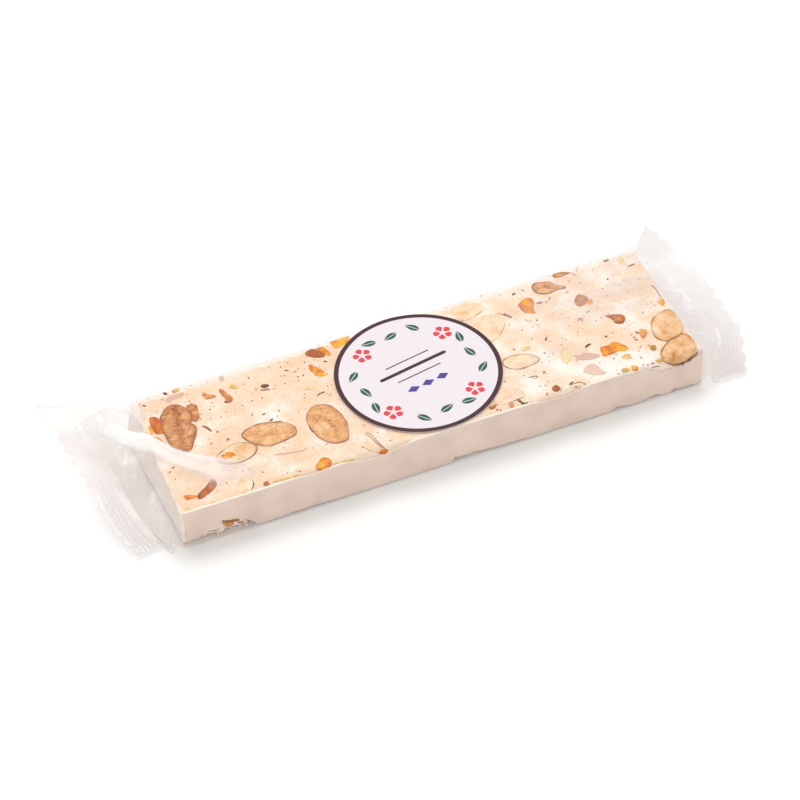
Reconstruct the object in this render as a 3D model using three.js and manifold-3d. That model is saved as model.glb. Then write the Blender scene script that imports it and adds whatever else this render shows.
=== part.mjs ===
// A bar of almond and candied-fruit nougat sealed in a clear flow wrap, with a round label on its top.
// Millimetres. +X runs along the bar, +Y across it and +Z up. The origin is the centre of the underside.
// The wrap and the bar in it are one solid: the film lies on the bar and tapers to a crimped seal at
// each end, where it is cut with a zigzag blade.

import * as THREE from "three";
import Module from "manifold-3d";
import { mergeVertices } from "three/addons/utils/BufferGeometryUtils.js";

const wasm = await Module();
wasm.setup();

// Bar in its film.
const BAR_LENGTH = 164.5;
const BAR_WIDTH = 50.5;
const BAR_HEIGHT = 14.8;
const LEFT_END_SKEW = 1.5; // how much further in the cut end is at its back corner than at its front one
const RIGHT_END_SKEW = 0.9; // how much further out the other end is at its back corner
const EDGE_ROUND = 0.9; // radius of a sharp long edge
const FOOT_ROUND = 0.7; // radius of a bottom edge
const TOP_WAVE = 0.2; // height of the slow unevenness of the sawn top
const TOP_WAVE_ALONG = 48; // length of one wave along the bar
const TOP_WAVE_ACROSS = 33; // length of one wave across the bar
const TOP_WAVE_START = 0.18; // share of a wave that is past at the bar's centre
const TOP_WAVE_FADE = 8; // the waves fade out over this distance towards the label
const FOLD_HALF = 0.3; // half the thickness of the film where its two sheets meet at a fold

// The front top edge is crushed in four places: middle along X, half length, and extra edge radius.
const CRUSHED_EDGE = [
  { x: -42, reach: 9, depth: 0.9 },
  { x: -23, reach: 13, depth: 2.2 },
  { x: 35, reach: 10, depth: 2.1 },
  { x: 73, reach: 9, depth: 2.5 },
];

// Folds of loose film that stand on the top like low ridges: start, end, bow to one side, height, half width.
const FOLD_STEPS = 10;
const FOLD_SWELL = [0.06, 0.97]; // the stretch of a half wave that a fold's height follows from end to end
const FOLD_END_WIDTH = 0.25; // how wide a fold still is where it has no height, as a share
const TOP_FOLDS = [
  { from: [-81.6, 5], to: [-57, -21], bow: 2.5, height: 0.8, half: 2.6 },
  { from: [-80.4, 18], to: [-60, 14], bow: -1, height: 0.5, half: 1.6 },
  { from: [-81.4, -9], to: [-66, -20], bow: 1, height: 0.5, half: 1.4 },
  { from: [34, 3.5], to: [81.6, 8], bow: 1.5, height: 0.5, half: 1.8 },
  { from: [33, 14], to: [82.2, 19], bow: -1, height: 0.45, half: 1.6 },
  { from: [56, -4], to: [81.8, -2.5], bow: 0.6, height: 0.4, half: 1.2 },
];

// Label.
const LABEL_RADIUS = 25;
const LABEL_THICKNESS = 0.3;
const LABEL_X = 0.3;
const LABEL_SIDES = 96;
const LABEL_CLEARANCE = 2; // the top stays flat this far outside the label

// Cut almonds that show as low ovals through the film: centre, length, width and turn from +X.
const ALMOND_RISE = 0.5;
const ALMOND_SHOULDER = 0.15; // how far the flat crown is in from the outline, as a share of the width
const RELIEF_DEPTH = 1.5; // how deep the ovals and folds are sunk in the pack
const ALMOND_TAPER = 0.28; // how much narrower the pointed end is, as a share of the width
const ALMOND_SIDES = 18;
const ALMONDS = [
  { x: -72.5, y: 7.2, length: 19.2, width: 11.5, turn: 72 },
  { x: -48.7, y: -5.6, length: 16, width: 9.5, turn: -10 },
  { x: -59.7, y: -9, length: 11, width: 7, turn: 10 },
  { x: -31.9, y: -9, length: 16, width: 11.5, turn: -72 },
  { x: -61.4, y: -20.4, length: 9, width: 5, turn: 62 },
  { x: 51.4, y: 18, length: 11, width: 5, turn: -10 },
  { x: 57.4, y: 22.4, length: 6, width: 3.2, turn: 10 },
  { x: 30.7, y: -8.5, length: 10.4, width: 5.8, turn: 4 },
  { x: 23.2, y: -21.2, length: 9, width: 4.4, turn: 5 },
  { x: 24.9, y: 20, length: 9, width: 4.6, turn: -14 },
  { x: 49, y: -14.6, length: 8.5, width: 5, turn: 6 },
  { x: 76.6, y: -12.2, length: 13, width: 11, turn: 60 },
  { x: 75, y: -21.4, length: 13, width: 8.4, turn: 26 },
];

// End seals. A seal is a crimped band of the two sheets pressed together, with a zigzag cut.
const TEETH = 13;
const TOOTH_DEPTH = 1.8;
const BAND_WIDTH = 9;
const BAND_HALF = 0.28; // half the thickness of the band
const RIB_PITCH = 1.4;
const RIB_HEIGHT = 0.24;
const RIB_COUNT = 4;
const BAND_RIPPLE = 0.45; // height of the slow waves along the cut
const BAND_RIPPLE_WAVES = 2.15; // how many such waves there are along the cut
const INNER_RIPPLE = 0.6; // how much of them is left at the band's inner edge

// Where the zigzag cut of each seal runs, from the back to the front, and which way the band lies from it.
const LEFT_SEAL = [
  { cut: [-107.1, 35.6, 12], inward: [0.86, 0.13, -0.49] },
  { cut: [-104.9, 21.5, 9.6], inward: [0.93, 0.15, -0.3] },
  { cut: [-102.4, 6.4, 7.3], inward: [0.98, 0.15, -0.08] },
  { cut: [-101.2, -7.5, 5], inward: [0.98, 0.18, 0.06] },
  { cut: [-99.7, -16, 3.4], inward: [0.96, 0.26, 0.05] },
  { cut: [-96.7, -23.1, 1.8], inward: [0.97, 0.2, -0.04] },
];
const RIGHT_SEAL = [
  { cut: [90.6, 31.6, 15.8], inward: [-0.44, -0.22, -0.87] },
  { cut: [94.6, 20.7, 14.4], inward: [-0.8, -0.08, -0.58] },
  { cut: [97.1, 5.4, 12.3], inward: [-0.97, 0.05, -0.02] },
  { cut: [99, -12.8, 9.6], inward: [-0.96, 0.1, 0.2] },
  { cut: [99.4, -17.6, 7.6], inward: [-0.95, 0.1, 0.24] },
  { cut: [98, -22.4, 3.8], inward: [-0.98, 0.05, 0.15] },
  { cut: [96.2, -27.4, 0.8], inward: [-0.99, 0.05, 0.05] },
];

// Loose film between the bar's end and the seal.
const TENT_SAG = 0.8; // how far the upper sheet hangs below a straight line
const UNDER_REACH = 0.85; // how far out the lower sheet lies on the table, as a share of the way to the seal
const UNDER_LIFT = 0.1; // how much of the seal's height it has gained there
const CREASE_HEIGHT = 0.55; // creases that run from the bar to the seal
const UNDER_CREASE_HEIGHT = 0.3;
const CREASE_WAVES = 3.2; // how many such creases there are across the sheet

// How far the loose film at each end stands out from the bar in its front fold and in its back one.
const FRONT_FOLD = { left: 3, right: 0.3 };
const BACK_FOLD = { left: 1.8, right: 0.4 };
const FRONT_FOLD_LAG = 2.5; // how much nearer the seal than the bar the front fold is deepest
const FRONT_FOLD_SHARE = 0.2; // share of the sheet that the front fold takes
const BACK_FOLD_SHARE = 0.3;
const TUCKED_HEIGHT = 0.35; // how much of its height the upper sheet keeps in the front fold

// Loft grid. Each ring has an upper and a lower sheet, from the back fold to the front fold.
const ACROSS = 2 * TEETH;
const SIDE_STEPS = 3;
const CORNER_STEPS = 2;
const TOP_STEPS = ACROSS - 2 * (SIDE_STEPS + CORNER_STEPS);
const BAR_STEPS = 40;
const TENT_STEPS = 7;

const FILM_COLOUR = 0xf3eee4;
const LABEL_COLOUR = 0xf4f2f5;

const SAME_POINT = 1e-4; // corners nearer than this are one corner

const FULL_TURN = 2 * Math.PI;
const lerp = THREE.MathUtils.lerp;
const clamp = THREE.MathUtils.clamp;
const smoothstep = THREE.MathUtils.smoothstep;
const degToRad = THREE.MathUtils.degToRad;

// A smooth bump, 1 in the middle and 0 beyond its reach.
function bump(distance, reach) {
  const t = clamp(Math.abs(distance) / reach, 0, 1);
  return (1 - t * t) ** 2;
}

// X of the cut end on one side (-1 left, 1 right) at a place across the bar.
function endX(side, y) {
  const across = y / BAR_WIDTH;
  const skew = side < 0 ? LEFT_END_SKEW : RIGHT_END_SKEW;
  return side * BAR_LENGTH / 2 + skew * across;
}

// Radius of the front top edge at a place along the bar.
function frontEdgeRadius(x) {
  let radius = EDGE_ROUND;
  for (const dent of CRUSHED_EDGE) {
    radius += dent.depth * bump(x - dent.x, dent.reach);
  }
  return radius;
}

// Height of the film over the flat top, level under the label.
function topRelief(x, y) {
  const fromLabel = Math.hypot(x - LABEL_X, y) - LABEL_RADIUS - LABEL_CLEARANCE;
  const free = smoothstep(fromLabel, 0, TOP_WAVE_FADE);
  const along = Math.sin(FULL_TURN * (x / TOP_WAVE_ALONG + TOP_WAVE_START));
  const across = Math.sin(FULL_TURN * (y / TOP_WAVE_ACROSS + TOP_WAVE_START));
  return free * TOP_WAVE * (along * across - 1) / 2;
}

// Outline of one sheet over a cross-section: up the back side, round the corners and down the front side.
function sheetOutline(fold, face, backRadius, frontRadius) {
  const half = BAR_WIDTH / 2;
  const rise = Math.sign(face - fold);
  const points = [];
  for (let i = 0; i < SIDE_STEPS; i += 1) {
    points.push([half, lerp(fold, face - rise * backRadius, i / SIDE_STEPS)]);
  }
  for (let i = 0; i <= CORNER_STEPS; i += 1) {
    const angle = (i / CORNER_STEPS) * (Math.PI / 2);
    points.push([
      half - backRadius * (1 - Math.cos(angle)),
      face - rise * backRadius * (1 - Math.sin(angle)),
    ]);
  }
  for (let i = 1; i < TOP_STEPS; i += 1) {
    points.push([lerp(half - backRadius, -half + frontRadius, i / TOP_STEPS), face]);
  }
  for (let i = CORNER_STEPS; i >= 0; i -= 1) {
    const angle = (i / CORNER_STEPS) * (Math.PI / 2);
    points.push([
      -half + frontRadius * (1 - Math.cos(angle)),
      face - rise * frontRadius * (1 - Math.sin(angle)),
    ]);
  }
  for (let i = SIDE_STEPS - 1; i >= 0; i -= 1) {
    points.push([-half, lerp(fold, face - rise * frontRadius, i / SIDE_STEPS)]);
  }
  return points;
}

// One ring round the bar, at a share of its length from the left end to the right one.
function barRing(share) {
  const middle = BAR_HEIGHT / 2;
  const nominalX = lerp(endX(-1, 0), endX(1, 0), share);
  const radius = frontEdgeRadius(nominalX);
  const place = ([y, z]) => new THREE.Vector3(lerp(endX(-1, y), endX(1, y), share), y, z);
  const upper = sheetOutline(middle + FOLD_HALF, BAR_HEIGHT, EDGE_ROUND, radius).map(place);
  const lower = sheetOutline(middle - FOLD_HALF, 0, FOOT_ROUND, FOOT_ROUND).map(place);
  const firstTop = SIDE_STEPS + CORNER_STEPS;
  for (let k = firstTop; k <= firstTop + TOP_STEPS; k += 1) {
    upper[k].z += topRelief(upper[k].x, upper[k].y);
  }
  return { upper, lower };
}

// The band of one seal: points on the cut and on the inner edge, and the upward normal, for each column.
function sealBand(side, stations) {
  const cutCurve = new THREE.CatmullRomCurve3(stations.map((s) => new THREE.Vector3(...s.cut)));
  const innerPoints = stations.map((s) => {
    const inward = new THREE.Vector3(...s.inward).normalize();
    return new THREE.Vector3(...s.cut).addScaledVector(inward, BAND_WIDTH);
  });
  const innerCurve = new THREE.CatmullRomCurve3(innerPoints);
  const columns = [];
  for (let k = 0; k <= ACROSS; k += 1) {
    const u = k / ACROSS;
    const cut = cutCurve.getPointAt(u);
    const inner = innerCurve.getPointAt(u);
    const inward = inner.clone().sub(cut).normalize();
    const normal = new THREE.Vector3().crossVectors(cutCurve.getTangentAt(u), inward);
    normal.normalize().multiplyScalar(-side);
    const ripple = BAND_RIPPLE * Math.sin(FULL_TURN * BAND_RIPPLE_WAVES * u + side) * Math.sin(Math.PI * u);
    cut.addScaledVector(normal, ripple);
    inner.addScaledVector(normal, INNER_RIPPLE * ripple);
    columns.push({ cut, inner, normal });
  }
  return columns;
}

// One ring across the band, at distances in from the inner edge, offset up or down by a rib.
function bandRing(columns, distances, offset) {
  const ring = { upper: [], lower: [] };
  columns.forEach((column, k) => {
    const centre = column.inner.clone().lerp(column.cut, distances[k] / BAND_WIDTH);
    ring.upper.push(centre.clone().addScaledVector(column.normal, offset + BAND_HALF));
    ring.lower.push(centre.clone().addScaledVector(column.normal, offset - BAND_HALF));
  });
  return ring;
}

// The rings of one seal from its inner edge to the zigzag cut.
function sealRings(columns) {
  const rings = [bandRing(columns, columns.map(() => 0), 0)];
  const firstRib = BAND_WIDTH - TOOTH_DEPTH - RIB_COUNT * RIB_PITCH;
  for (let i = 0; i < 2 * RIB_COUNT; i += 1) {
    const distance = firstRib + i * RIB_PITCH / 2;
    const offset = i % 2 === 0 ? RIB_HEIGHT : -RIB_HEIGHT;
    rings.push(bandRing(columns, columns.map(() => distance), offset));
  }
  const zigzag = columns.map((column, k) => BAND_WIDTH - (k % 2 === 0 ? 0 : TOOTH_DEPTH));
  rings.push(bandRing(columns, zigzag, 0));
  return rings;
}

// A quadratic curve from the bar to the seal through a pulled middle point.
function pulled(start, middle, end, t) {
  return new THREE.QuadraticBezierCurve3(start, middle, end).getPoint(t);
}

// A point of the upper sheet between the bar's end and the seal.
function upperTentPoint(start, end, t, inside, crease) {
  const middle = start.clone().lerp(end, 0.5);
  middle.z -= TENT_SAG * inside;
  const point = pulled(start, middle, end, t);
  point.z += CREASE_HEIGHT * crease;
  return point;
}

// A point of the lower sheet, which follows the table before it rises to the seal.
function lowerTentPoint(start, end, t, inside, crease) {
  const middle = start.clone().lerp(end, lerp(0.5, UNDER_REACH, inside));
  middle.z = lerp(middle.z, UNDER_LIFT * end.z, inside);
  const point = pulled(start, middle, end, t);
  point.z = Math.max(0, point.z + UNDER_CREASE_HEIGHT * inside * crease);
  return point;
}

// The rings of the loose film between the bar's end and the seal. Near the front both sheets are tucked
// down to the table in a fold that stands out from the bar, and near the back they flare out a little.
function tentRings(side, endRing, innerRing) {
  const end = side < 0 ? "left" : "right";
  const rings = [];
  for (let j = 1; j < TENT_STEPS; j += 1) {
    const t = j / TENT_STEPS;
    const slack = Math.sin(Math.PI * t);
    const ring = { upper: [], lower: [] };
    for (let k = 0; k <= ACROSS; k += 1) {
      const u = k / ACROSS;
      const inside = Math.min(1, 4 * u, 4 * (1 - u));
      const wave = Math.sin(FULL_TURN * CREASE_WAVES * u + 2 * side);
      const crease = slack * Math.sin(Math.PI * u) * wave;
      const upper = upperTentPoint(endRing.upper[k], innerRing.upper[k], t, inside, crease);
      const lower = lowerTentPoint(endRing.lower[k], innerRing.lower[k], t, inside, crease);
      const tuck = bump(u - 1, FRONT_FOLD_SHARE) * Math.sin(Math.PI * t ** FRONT_FOLD_LAG);
      const flare = bump(u, BACK_FOLD_SHARE) * slack;
      const shift = BACK_FOLD[end] * flare - FRONT_FOLD[end] * tuck;
      upper.y += shift;
      lower.y += shift;
      upper.z = lerp(upper.z, Math.max(TUCKED_HEIGHT * upper.z, 2 * FOLD_HALF), tuck);
      lower.z = lerp(lower.z, 0, tuck);
      ring.upper.push(upper);
      ring.lower.push(lower);
    }
    rings.push(ring);
  }
  return rings;
}

// A closed mesh through the rings, with a strip of faces across each zigzag cut.
function loft(rings) {
  const positions = [];
  const columns = ACROSS + 1;
  const perRing = 2 * columns;
  for (const ring of rings) {
    for (const point of [...ring.upper, ...ring.lower.toReversed()]) {
      positions.push(point.x, point.y, point.z);
    }
  }
  const index = [];
  for (let r = 0; r + 1 < rings.length; r += 1) {
    for (let i = 0; i < perRing; i += 1) {
      const next = (i + 1) % perRing;
      const a = r * perRing + i;
      const b = r * perRing + next;
      index.push(a, b, a + perRing, b, b + perRing, a + perRing);
    }
  }
  const last = (rings.length - 1) * perRing;
  for (let k = 0; k < ACROSS; k += 1) {
    const under = perRing - 1 - k;
    index.push(k, under, k + 1, k + 1, under, under - 1);
    index.push(last + k, last + k + 1, last + under, last + k + 1, last + under - 1, last + under);
  }
  const geometry = new THREE.BufferGeometry();
  geometry.setAttribute("position", new THREE.Float32BufferAttribute(positions, 3));
  geometry.setIndex(index);
  return geometry;
}

// An almond cut flush with the bar and drawn up against the film: a pointed oval with a low crown.
function almondGeometry(almond) {
  const points = [];
  for (let i = 0; i < ALMOND_SIDES; i += 1) {
    const angle = (i / ALMOND_SIDES) * FULL_TURN;
    const taper = 1 - ALMOND_TAPER * Math.max(0, Math.cos(angle)) ** 2;
    const x = Math.cos(angle) * almond.length / 2;
    const y = Math.sin(angle) * taper * almond.width / 2;
    points.push(new THREE.Vector2(x, y));
  }
  const oval = new THREE.Shape(points);
  const shoulder = ALMOND_SHOULDER * almond.width;
  const geometry = new THREE.ExtrudeGeometry(oval, {
    depth: RELIEF_DEPTH,
    bevelEnabled: true,
    bevelThickness: ALMOND_RISE,
    bevelSize: shoulder,
    bevelOffset: -shoulder,
    bevelSegments: 2,
  });
  geometry.rotateZ(degToRad(almond.turn));
  geometry.translate(almond.x, almond.y, BAR_HEIGHT - TOP_WAVE - RELIEF_DEPTH);
  return geometry;
}

// A fold of film on the top: a ridge with a sharp crest that tapers to both ends along a bowed line.
function foldGeometry(fold) {
  const start = new THREE.Vector2(...fold.from);
  const end = new THREE.Vector2(...fold.to);
  const run = end.clone().sub(start).normalize();
  const across = new THREE.Vector2(-run.y, run.x);
  const base = BAR_HEIGHT - TOP_WAVE - RELIEF_DEPTH;
  const positions = [];
  for (let i = 0; i <= FOLD_STEPS; i += 1) {
    const t = i / FOLD_STEPS;
    const swell = Math.sin(Math.PI * lerp(...FOLD_SWELL, t));
    const centre = start.clone().lerp(end, t).addScaledVector(across, fold.bow * Math.sin(Math.PI * t));
    const half = fold.half * lerp(FOLD_END_WIDTH, 1, swell);
    for (const [offset, z] of [[-half, base], [half, base], [0, BAR_HEIGHT + fold.height * swell]]) {
      positions.push(centre.x + across.x * offset, centre.y + across.y * offset, z);
    }
  }
  const index = [0, 2, 1];
  for (let i = 0; i < FOLD_STEPS; i += 1) {
    for (let j = 0; j < 3; j += 1) {
      const a = 3 * i + j;
      const b = 3 * i + (j + 1) % 3;
      index.push(a, b, a + 3, b, b + 3, a + 3);
    }
  }
  const last = 3 * FOLD_STEPS;
  index.push(last, last + 1, last + 2);
  const geometry = new THREE.BufferGeometry();
  geometry.setAttribute("position", new THREE.Float32BufferAttribute(positions, 3));
  geometry.setIndex(index);
  return geometry;
}

function toManifold(geometry) {
  const bare = geometry.clone();
  bare.deleteAttribute("normal");
  bare.deleteAttribute("uv");
  const merged = mergeVertices(bare, SAME_POINT);
  return new wasm.Manifold(new wasm.Mesh({
    numProp: 3,
    vertProperties: new Float32Array(merged.attributes.position.array),
    triVerts: new Uint32Array(merged.index.array),
  }));
}

function toGeometry(solid) {
  const mesh = solid.getMesh();
  const geometry = new THREE.BufferGeometry();
  geometry.setAttribute("position", new THREE.Float32BufferAttribute(mesh.vertProperties, 3));
  geometry.setIndex([...mesh.triVerts]);
  return geometry;
}

function filmPack() {
  const leftBand = sealRings(sealBand(-1, LEFT_SEAL));
  const rightBand = sealRings(sealBand(1, RIGHT_SEAL));
  const body = [];
  for (let i = 0; i <= BAR_STEPS; i += 1) {
    body.push(barRing(i / BAR_STEPS));
  }
  const leftTent = tentRings(-1, body[0], leftBand[0]);
  const rightTent = tentRings(1, body[BAR_STEPS], rightBand[0]);
  const rings = [
    ...leftBand.toReversed(),
    ...leftTent.toReversed(),
    ...body,
    ...rightTent,
    ...rightBand,
  ];
  let solid = toManifold(loft(rings));
  for (const relief of [...ALMONDS.map(almondGeometry), ...TOP_FOLDS.map(foldGeometry)]) {
    solid = solid.add(toManifold(relief));
  }
  const material = new THREE.MeshStandardMaterial({ color: FILM_COLOUR, roughness: 0.35, metalness: 0 });
  const mesh = new THREE.Mesh(toGeometry(solid), material);
  mesh.name = "film_pack";
  return mesh;
}

function label() {
  const geometry = new THREE.CylinderGeometry(LABEL_RADIUS, LABEL_RADIUS, LABEL_THICKNESS, LABEL_SIDES);
  const material = new THREE.MeshStandardMaterial({ color: LABEL_COLOUR, roughness: 0.5, metalness: 0 });
  const mesh = new THREE.Mesh(geometry, material);
  mesh.name = "label";
  mesh.rotation.x = Math.PI / 2;
  mesh.position.set(LABEL_X, 0, BAR_HEIGHT + LABEL_THICKNESS / 2);
  return mesh;
}

const nougatBar = new THREE.Group();
nougatBar.add(filmPack(), label());

export default nougatBar;
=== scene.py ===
"""Looks of a nougat bar in a clear flow wrap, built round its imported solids.

Blender lengths are metres. The tables and shape functions below work in millimetres, and mesh_piece
turns them to metres. +X runs along the bar, +Y across it towards the back, +Z up.
"""

import math
import random

import bmesh
import bpy
import numpy as np
from bpy.props import FloatProperty, FloatVectorProperty, IntProperty, PointerProperty
from mathutils import Matrix, Vector, noise


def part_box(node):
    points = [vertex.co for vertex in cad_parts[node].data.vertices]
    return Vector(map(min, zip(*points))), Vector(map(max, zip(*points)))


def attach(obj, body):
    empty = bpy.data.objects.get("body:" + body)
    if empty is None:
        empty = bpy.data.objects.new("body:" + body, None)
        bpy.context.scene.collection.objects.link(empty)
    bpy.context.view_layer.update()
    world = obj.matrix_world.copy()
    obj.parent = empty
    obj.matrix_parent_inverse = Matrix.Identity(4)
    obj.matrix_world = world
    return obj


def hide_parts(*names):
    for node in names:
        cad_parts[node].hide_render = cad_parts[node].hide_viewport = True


bl_info = {
    "name": "Wrapped Nougat Bar",
    "version": (1, 0, 0),
    "blender": (4, 5, 0),
    "location": "3D View > Sidebar > Nougat",
    "description": "Builds a nougat bar in a clear flow wrap with a round label",
    "category": "Add Mesh",
}

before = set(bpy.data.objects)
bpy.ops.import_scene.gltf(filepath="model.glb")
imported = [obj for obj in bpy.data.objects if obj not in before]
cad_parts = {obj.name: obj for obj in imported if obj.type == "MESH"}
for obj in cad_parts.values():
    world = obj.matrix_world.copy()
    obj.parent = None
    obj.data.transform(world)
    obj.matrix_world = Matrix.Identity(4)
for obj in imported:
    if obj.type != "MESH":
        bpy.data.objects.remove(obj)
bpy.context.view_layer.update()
LABEL_LOW, LABEL_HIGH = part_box("label")

MM = 0.001
BODY = "root"
FULL_TURN = 2 * math.pi


# ---------------------------------------------------------------- tables, in millimetres

# Soft places where the nougat is paler, or darker if the strength is negative: middle along X and Y, half
# length, half breadth, degrees and strength. The strong pale places on the right half are painted highlights
# that stand for the film's sheen.
PALE_AND_HIGHLIGHT_PLACES = [
    (40.5, -13, 8, 3.6, -52, 1.4), (30, -18.5, 6, 3, -56, 0.9), (56, -21.5, 12, 3.6, -10, 2.2),
    (-45, -20, 12, 2.6, 4, 0.2), (62, 3, 10, 4, 0, 0.3), (30, 17, 7, 5, 20, 0.4), (69, 15, 12, 4, 10, 0.6),
    (-18, -20, 7, 4, 0, 0.9), (-48, 6, 4, 14, 0, 0.4), (77, 4, 6, 4, 0, 0.4), (-73, -17, 9, 6, 20, -0.5),
    (-62, 20, 16, 4, 0, -0.2), (-44, -23.7, 26, 1.1, 0, -0.9),
]

# Places where the front top edge is crushed: middle along X, half length, extra edge radius.
CRUSHED_EDGE = [(-42, 9, 0.9), (-23, 13, 2.2), (35, 10, 2.1), (73, 9, 2.5)]

# Places where the front wafer's top edge is broken off below the nougat's own: middle, half length, depth.
BROKEN_WAFER = [(59, 6, 2.0), (67.5, 7, 3.0), (76.5, 7, 2.6)]

# Height of the ragged lower edge of the front wafer above the table, at places along X.
TORN_EDGE = [
    (-84, 3.9), (-81.4, 2.9), (-79.2, 2.7), (-76.5, 3.4), (-75.6, 4.2), (-73.7, 5.3), (-71.5, 5.4),
    (-70.7, 7.1), (-70, 7.7), (-67.5, 6.5), (-65, 4.5), (-63.3, 3.9), (-61.4, 2.1), (-60.9, 0.9),
    (-60, 0.3), (-53, 0.5), (-49, 0.9), (-38, 0.8), (-30, 0.3), (0, 0.3), (1, 2.1), (3.3, 1.7),
    (5.2, 1.4), (6.8, 1.9), (9.1, 1.5), (15, 0.9), (22.6, 0.8), (24.4, 0.3), (42, 0.3), (44, 0.6),
    (45.3, 0.3), (52, 0.3), (52.9, 1.4), (54, 1.5), (58.1, 0.3), (63, 0.4), (65.5, 1.6), (67.8, 1.0),
    (69, 0.3), (71.6, 0.4), (72.4, 1.4), (73.6, 1.0), (78.1, 0.6), (84, 0.4),
]

# Folds of loose film over the top and the ends. Each runs along a crest, given as x, y, height, width
# of the near slope, width of the far slope and how milky it is, partly a painted highlight, and ends with how
# sharp it is, 0 or 1.
FILM_FOLDS = [
    ([(-91.5, 21.5, 0.1, 3, 2, 0.25), (-88.6, 18.4, 0.5, 3.2, 2, 0.6), (-85.6, 12.6, 0.7, 3.8, 2, 0.85),
      (-81.2, 5.6, 0.7, 4.6, 2.2, 0.85), (-76, -2.4, 0.66, 6, 2.4, 0.68), (-69.8, -8.4, 0.75, 8.6, 3, 0.52),
      (-64.8, -12, 0.8, 10.5, 3.2, 0.48), (-60.6, -14.6, 0.1, 8, 3, 0.2)], 0),
    ([(-99.5, 22, 0.3, 3, 2, 0.2), (-96.5, 28.5, 1.1, 4, 2, 0.15), (-89, 29, 1.0, 5, 3, 0.15),
      (-83, 25.5, 0.3, 4, 3, 0.2)], 1),
    ([(-103.1, 31.9, 0.4, 3, 3, 0.05), (-100.8, 18, 0.9, 3, 3, 0.08), (-98.4, 6.8, 0.8, 3, 3, 0.05),
      (-96, 0, 0.2, 3, 3, 0)], 1),
    ([(-88, 12.5, 0.2, 3, 3, 0.08), (-89.5, 9, 0.7, 3.6, 3, 0.12), (-91.5, 4, 0.7, 3.6, 3, 0.12),
      (-93, 0, 0.1, 2, 2, 0.02)], 1),
    ([(-91, -2, 0.1, 2.4, 2, 0), (-88.6, -6.5, 0.5, 3, 2, 0.03), (-86.6, -12.5, 0.5, 3, 2, 0.03),
      (-84.4, -17, 0.1, 2, 2, 0)], 1),
    ([(79, 0, 0.1, 2.5, 2, 0.05), (81.4, -6, 0.2, 2.6, 2.4, 0.12), (81.2, -13, 0.2, 2.6, 2.4, 0.1),
      (81.5, -19, 0.1, 2, 2, 0.1)], 0),
    ([(-89, 29.5, 0.1, 3, 3, 0.1), (-82.5, 26.5, 0.3, 5, 1.4, 0.5), (-80.6, 22, 0.35, 5, 1.2, 0.5),
      (-80.8, 15, 0.2, 3, 1, 0.4)], 0),
    ([(-97.6, 2.6, 0.3, 3, 3, 0), (-91.5, -0.5, 1.3, 4, 4, 0.06), (-87, -11, 1, 4, 3, 0.06),
      (-84, -18, 0.1, 3, 3, 0)], 1),
    ([(-98, -8, 0.1, 2, 2, 0), (-92.5, -14.5, 1.2, 3.4, 3, 0.05), (-88, -21, 1.2, 3.4, 3, 0.05),
      (-84, -24, 0.1, 3, 3, 0)], 1),
    ([(28, 9.5, 0.05, 5, 5, 0), (45, 11.2, 0.34, 6.4, 5, 0.15), (62, 9.6, 0.46, 7, 5, 0.2),
      (78, 9.5, 0.5, 7, 5, 0.25), (88, 7, 0.2, 5, 5, 0.1)], 0),
    ([(38, 18.5, 0.05, 5, 5, 0), (56, 17.4, 0.36, 6, 5, 0.12), (70, 18.5, 0.42, 6.6, 5, 0.15),
      (80, 20.5, 0.4, 6.6, 5, 0.2), (90, 18, 0.2, 5, 5, 0.1)], 0),
    ([(33, 1.6, 0.05, 4.4, 4, 0), (48, 4, 0.3, 5, 4, 0.15), (60, 2.4, 0.32, 5, 4, 0.2),
      (70, 0.8, 0.36, 5, 4, 0.2), (82, 0.9, 0.2, 5, 4, 0.1)], 0),
    ([(26, -9, 0.05, 4, 4, 0), (38, -9.8, 0.3, 4.6, 4, 0.2), (50, -9, 0.1, 4, 4, 0)], 0),
    ([(33, -6.4, 0.05, 4, 4, 0), (37, -8.4, 0.3, 5, 5, 0.03), (41, -11.5, 0.36, 6, 5, 0.04),
      (45, -16.8, 0.3, 5, 5, 0.03), (47.5, -19.4, 0.05, 3, 2, 0)], 0),
    ([(26.6, -13.4, 0.05, 4, 2, 0), (30, -15.6, 0.3, 5, 5, 0.03), (32.8, -19.6, 0.3, 5, 5, 0.03),
      (33.6, -23, 0.05, 3, 2, 0)], 0),
    ([(46, -17.4, 0.05, 3, 2, 0), (50, -18.6, 0.26, 5, 5, 0.04), (58, -20.2, 0.34, 5, 5, 0.05),
      (64, -22, 0.24, 4, 4, 0.04), (68, -24.6, 0.05, 2, 2, 0)], 0),
    ([(12, -22, 0.05, 4, 3, 0), (20, -19.5, 0.2, 4, 3, 0.2), (26, -19.6, 0.05, 4, 3, 0)], 0),
    ([(91.6, -15.5, 0.1, 1.3, 1.2, 0.4), (90.6, -19, 0.7, 1.5, 1.3, 0.55),
      (89.6, -22.5, 0.1, 1.3, 1.2, 0.5)], 1),
    ([(88.6, -15.5, 0.1, 2, 1.6, 0.1), (87.9, -18.5, 0.5, 2, 1.6, 0.18), (87.2, -22, 0.1, 2, 1.6, 0.16)], 1),
    ([(82, -17, 0.2, 3, 2, 0.1), (87, -19, 1.4, 3.4, 1.4, 0.25), (93, -17, 0.4, 3, 2, 0.1)], 1),
    ([(83.5, -25, 0.2, 2, 2, 0), (88.5, -20.5, 1.4, 2.2, 2.2, 0.2), (90, -15, 0.3, 2, 2, 0)], 1),
    ([(83, 3, 0.2, 3, 3, 0), (90, 0, 1.0, 3.4, 3, 0.1), (97, -4, 0.2, 3, 3, 0)], 1),
    ([(82, 22, 0.2, 3, 3, 0), (88, 17, 1.0, 3.4, 3, 0.1), (94, 14, 0.2, 3, 3, 0)], 1),
    ([(84, -8, 0.2, 3, 3, 0), (90, -9, 1.2, 4, 3, 0.1), (97, -14, 0.3, 3, 3, 0)], 1),
]

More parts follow.
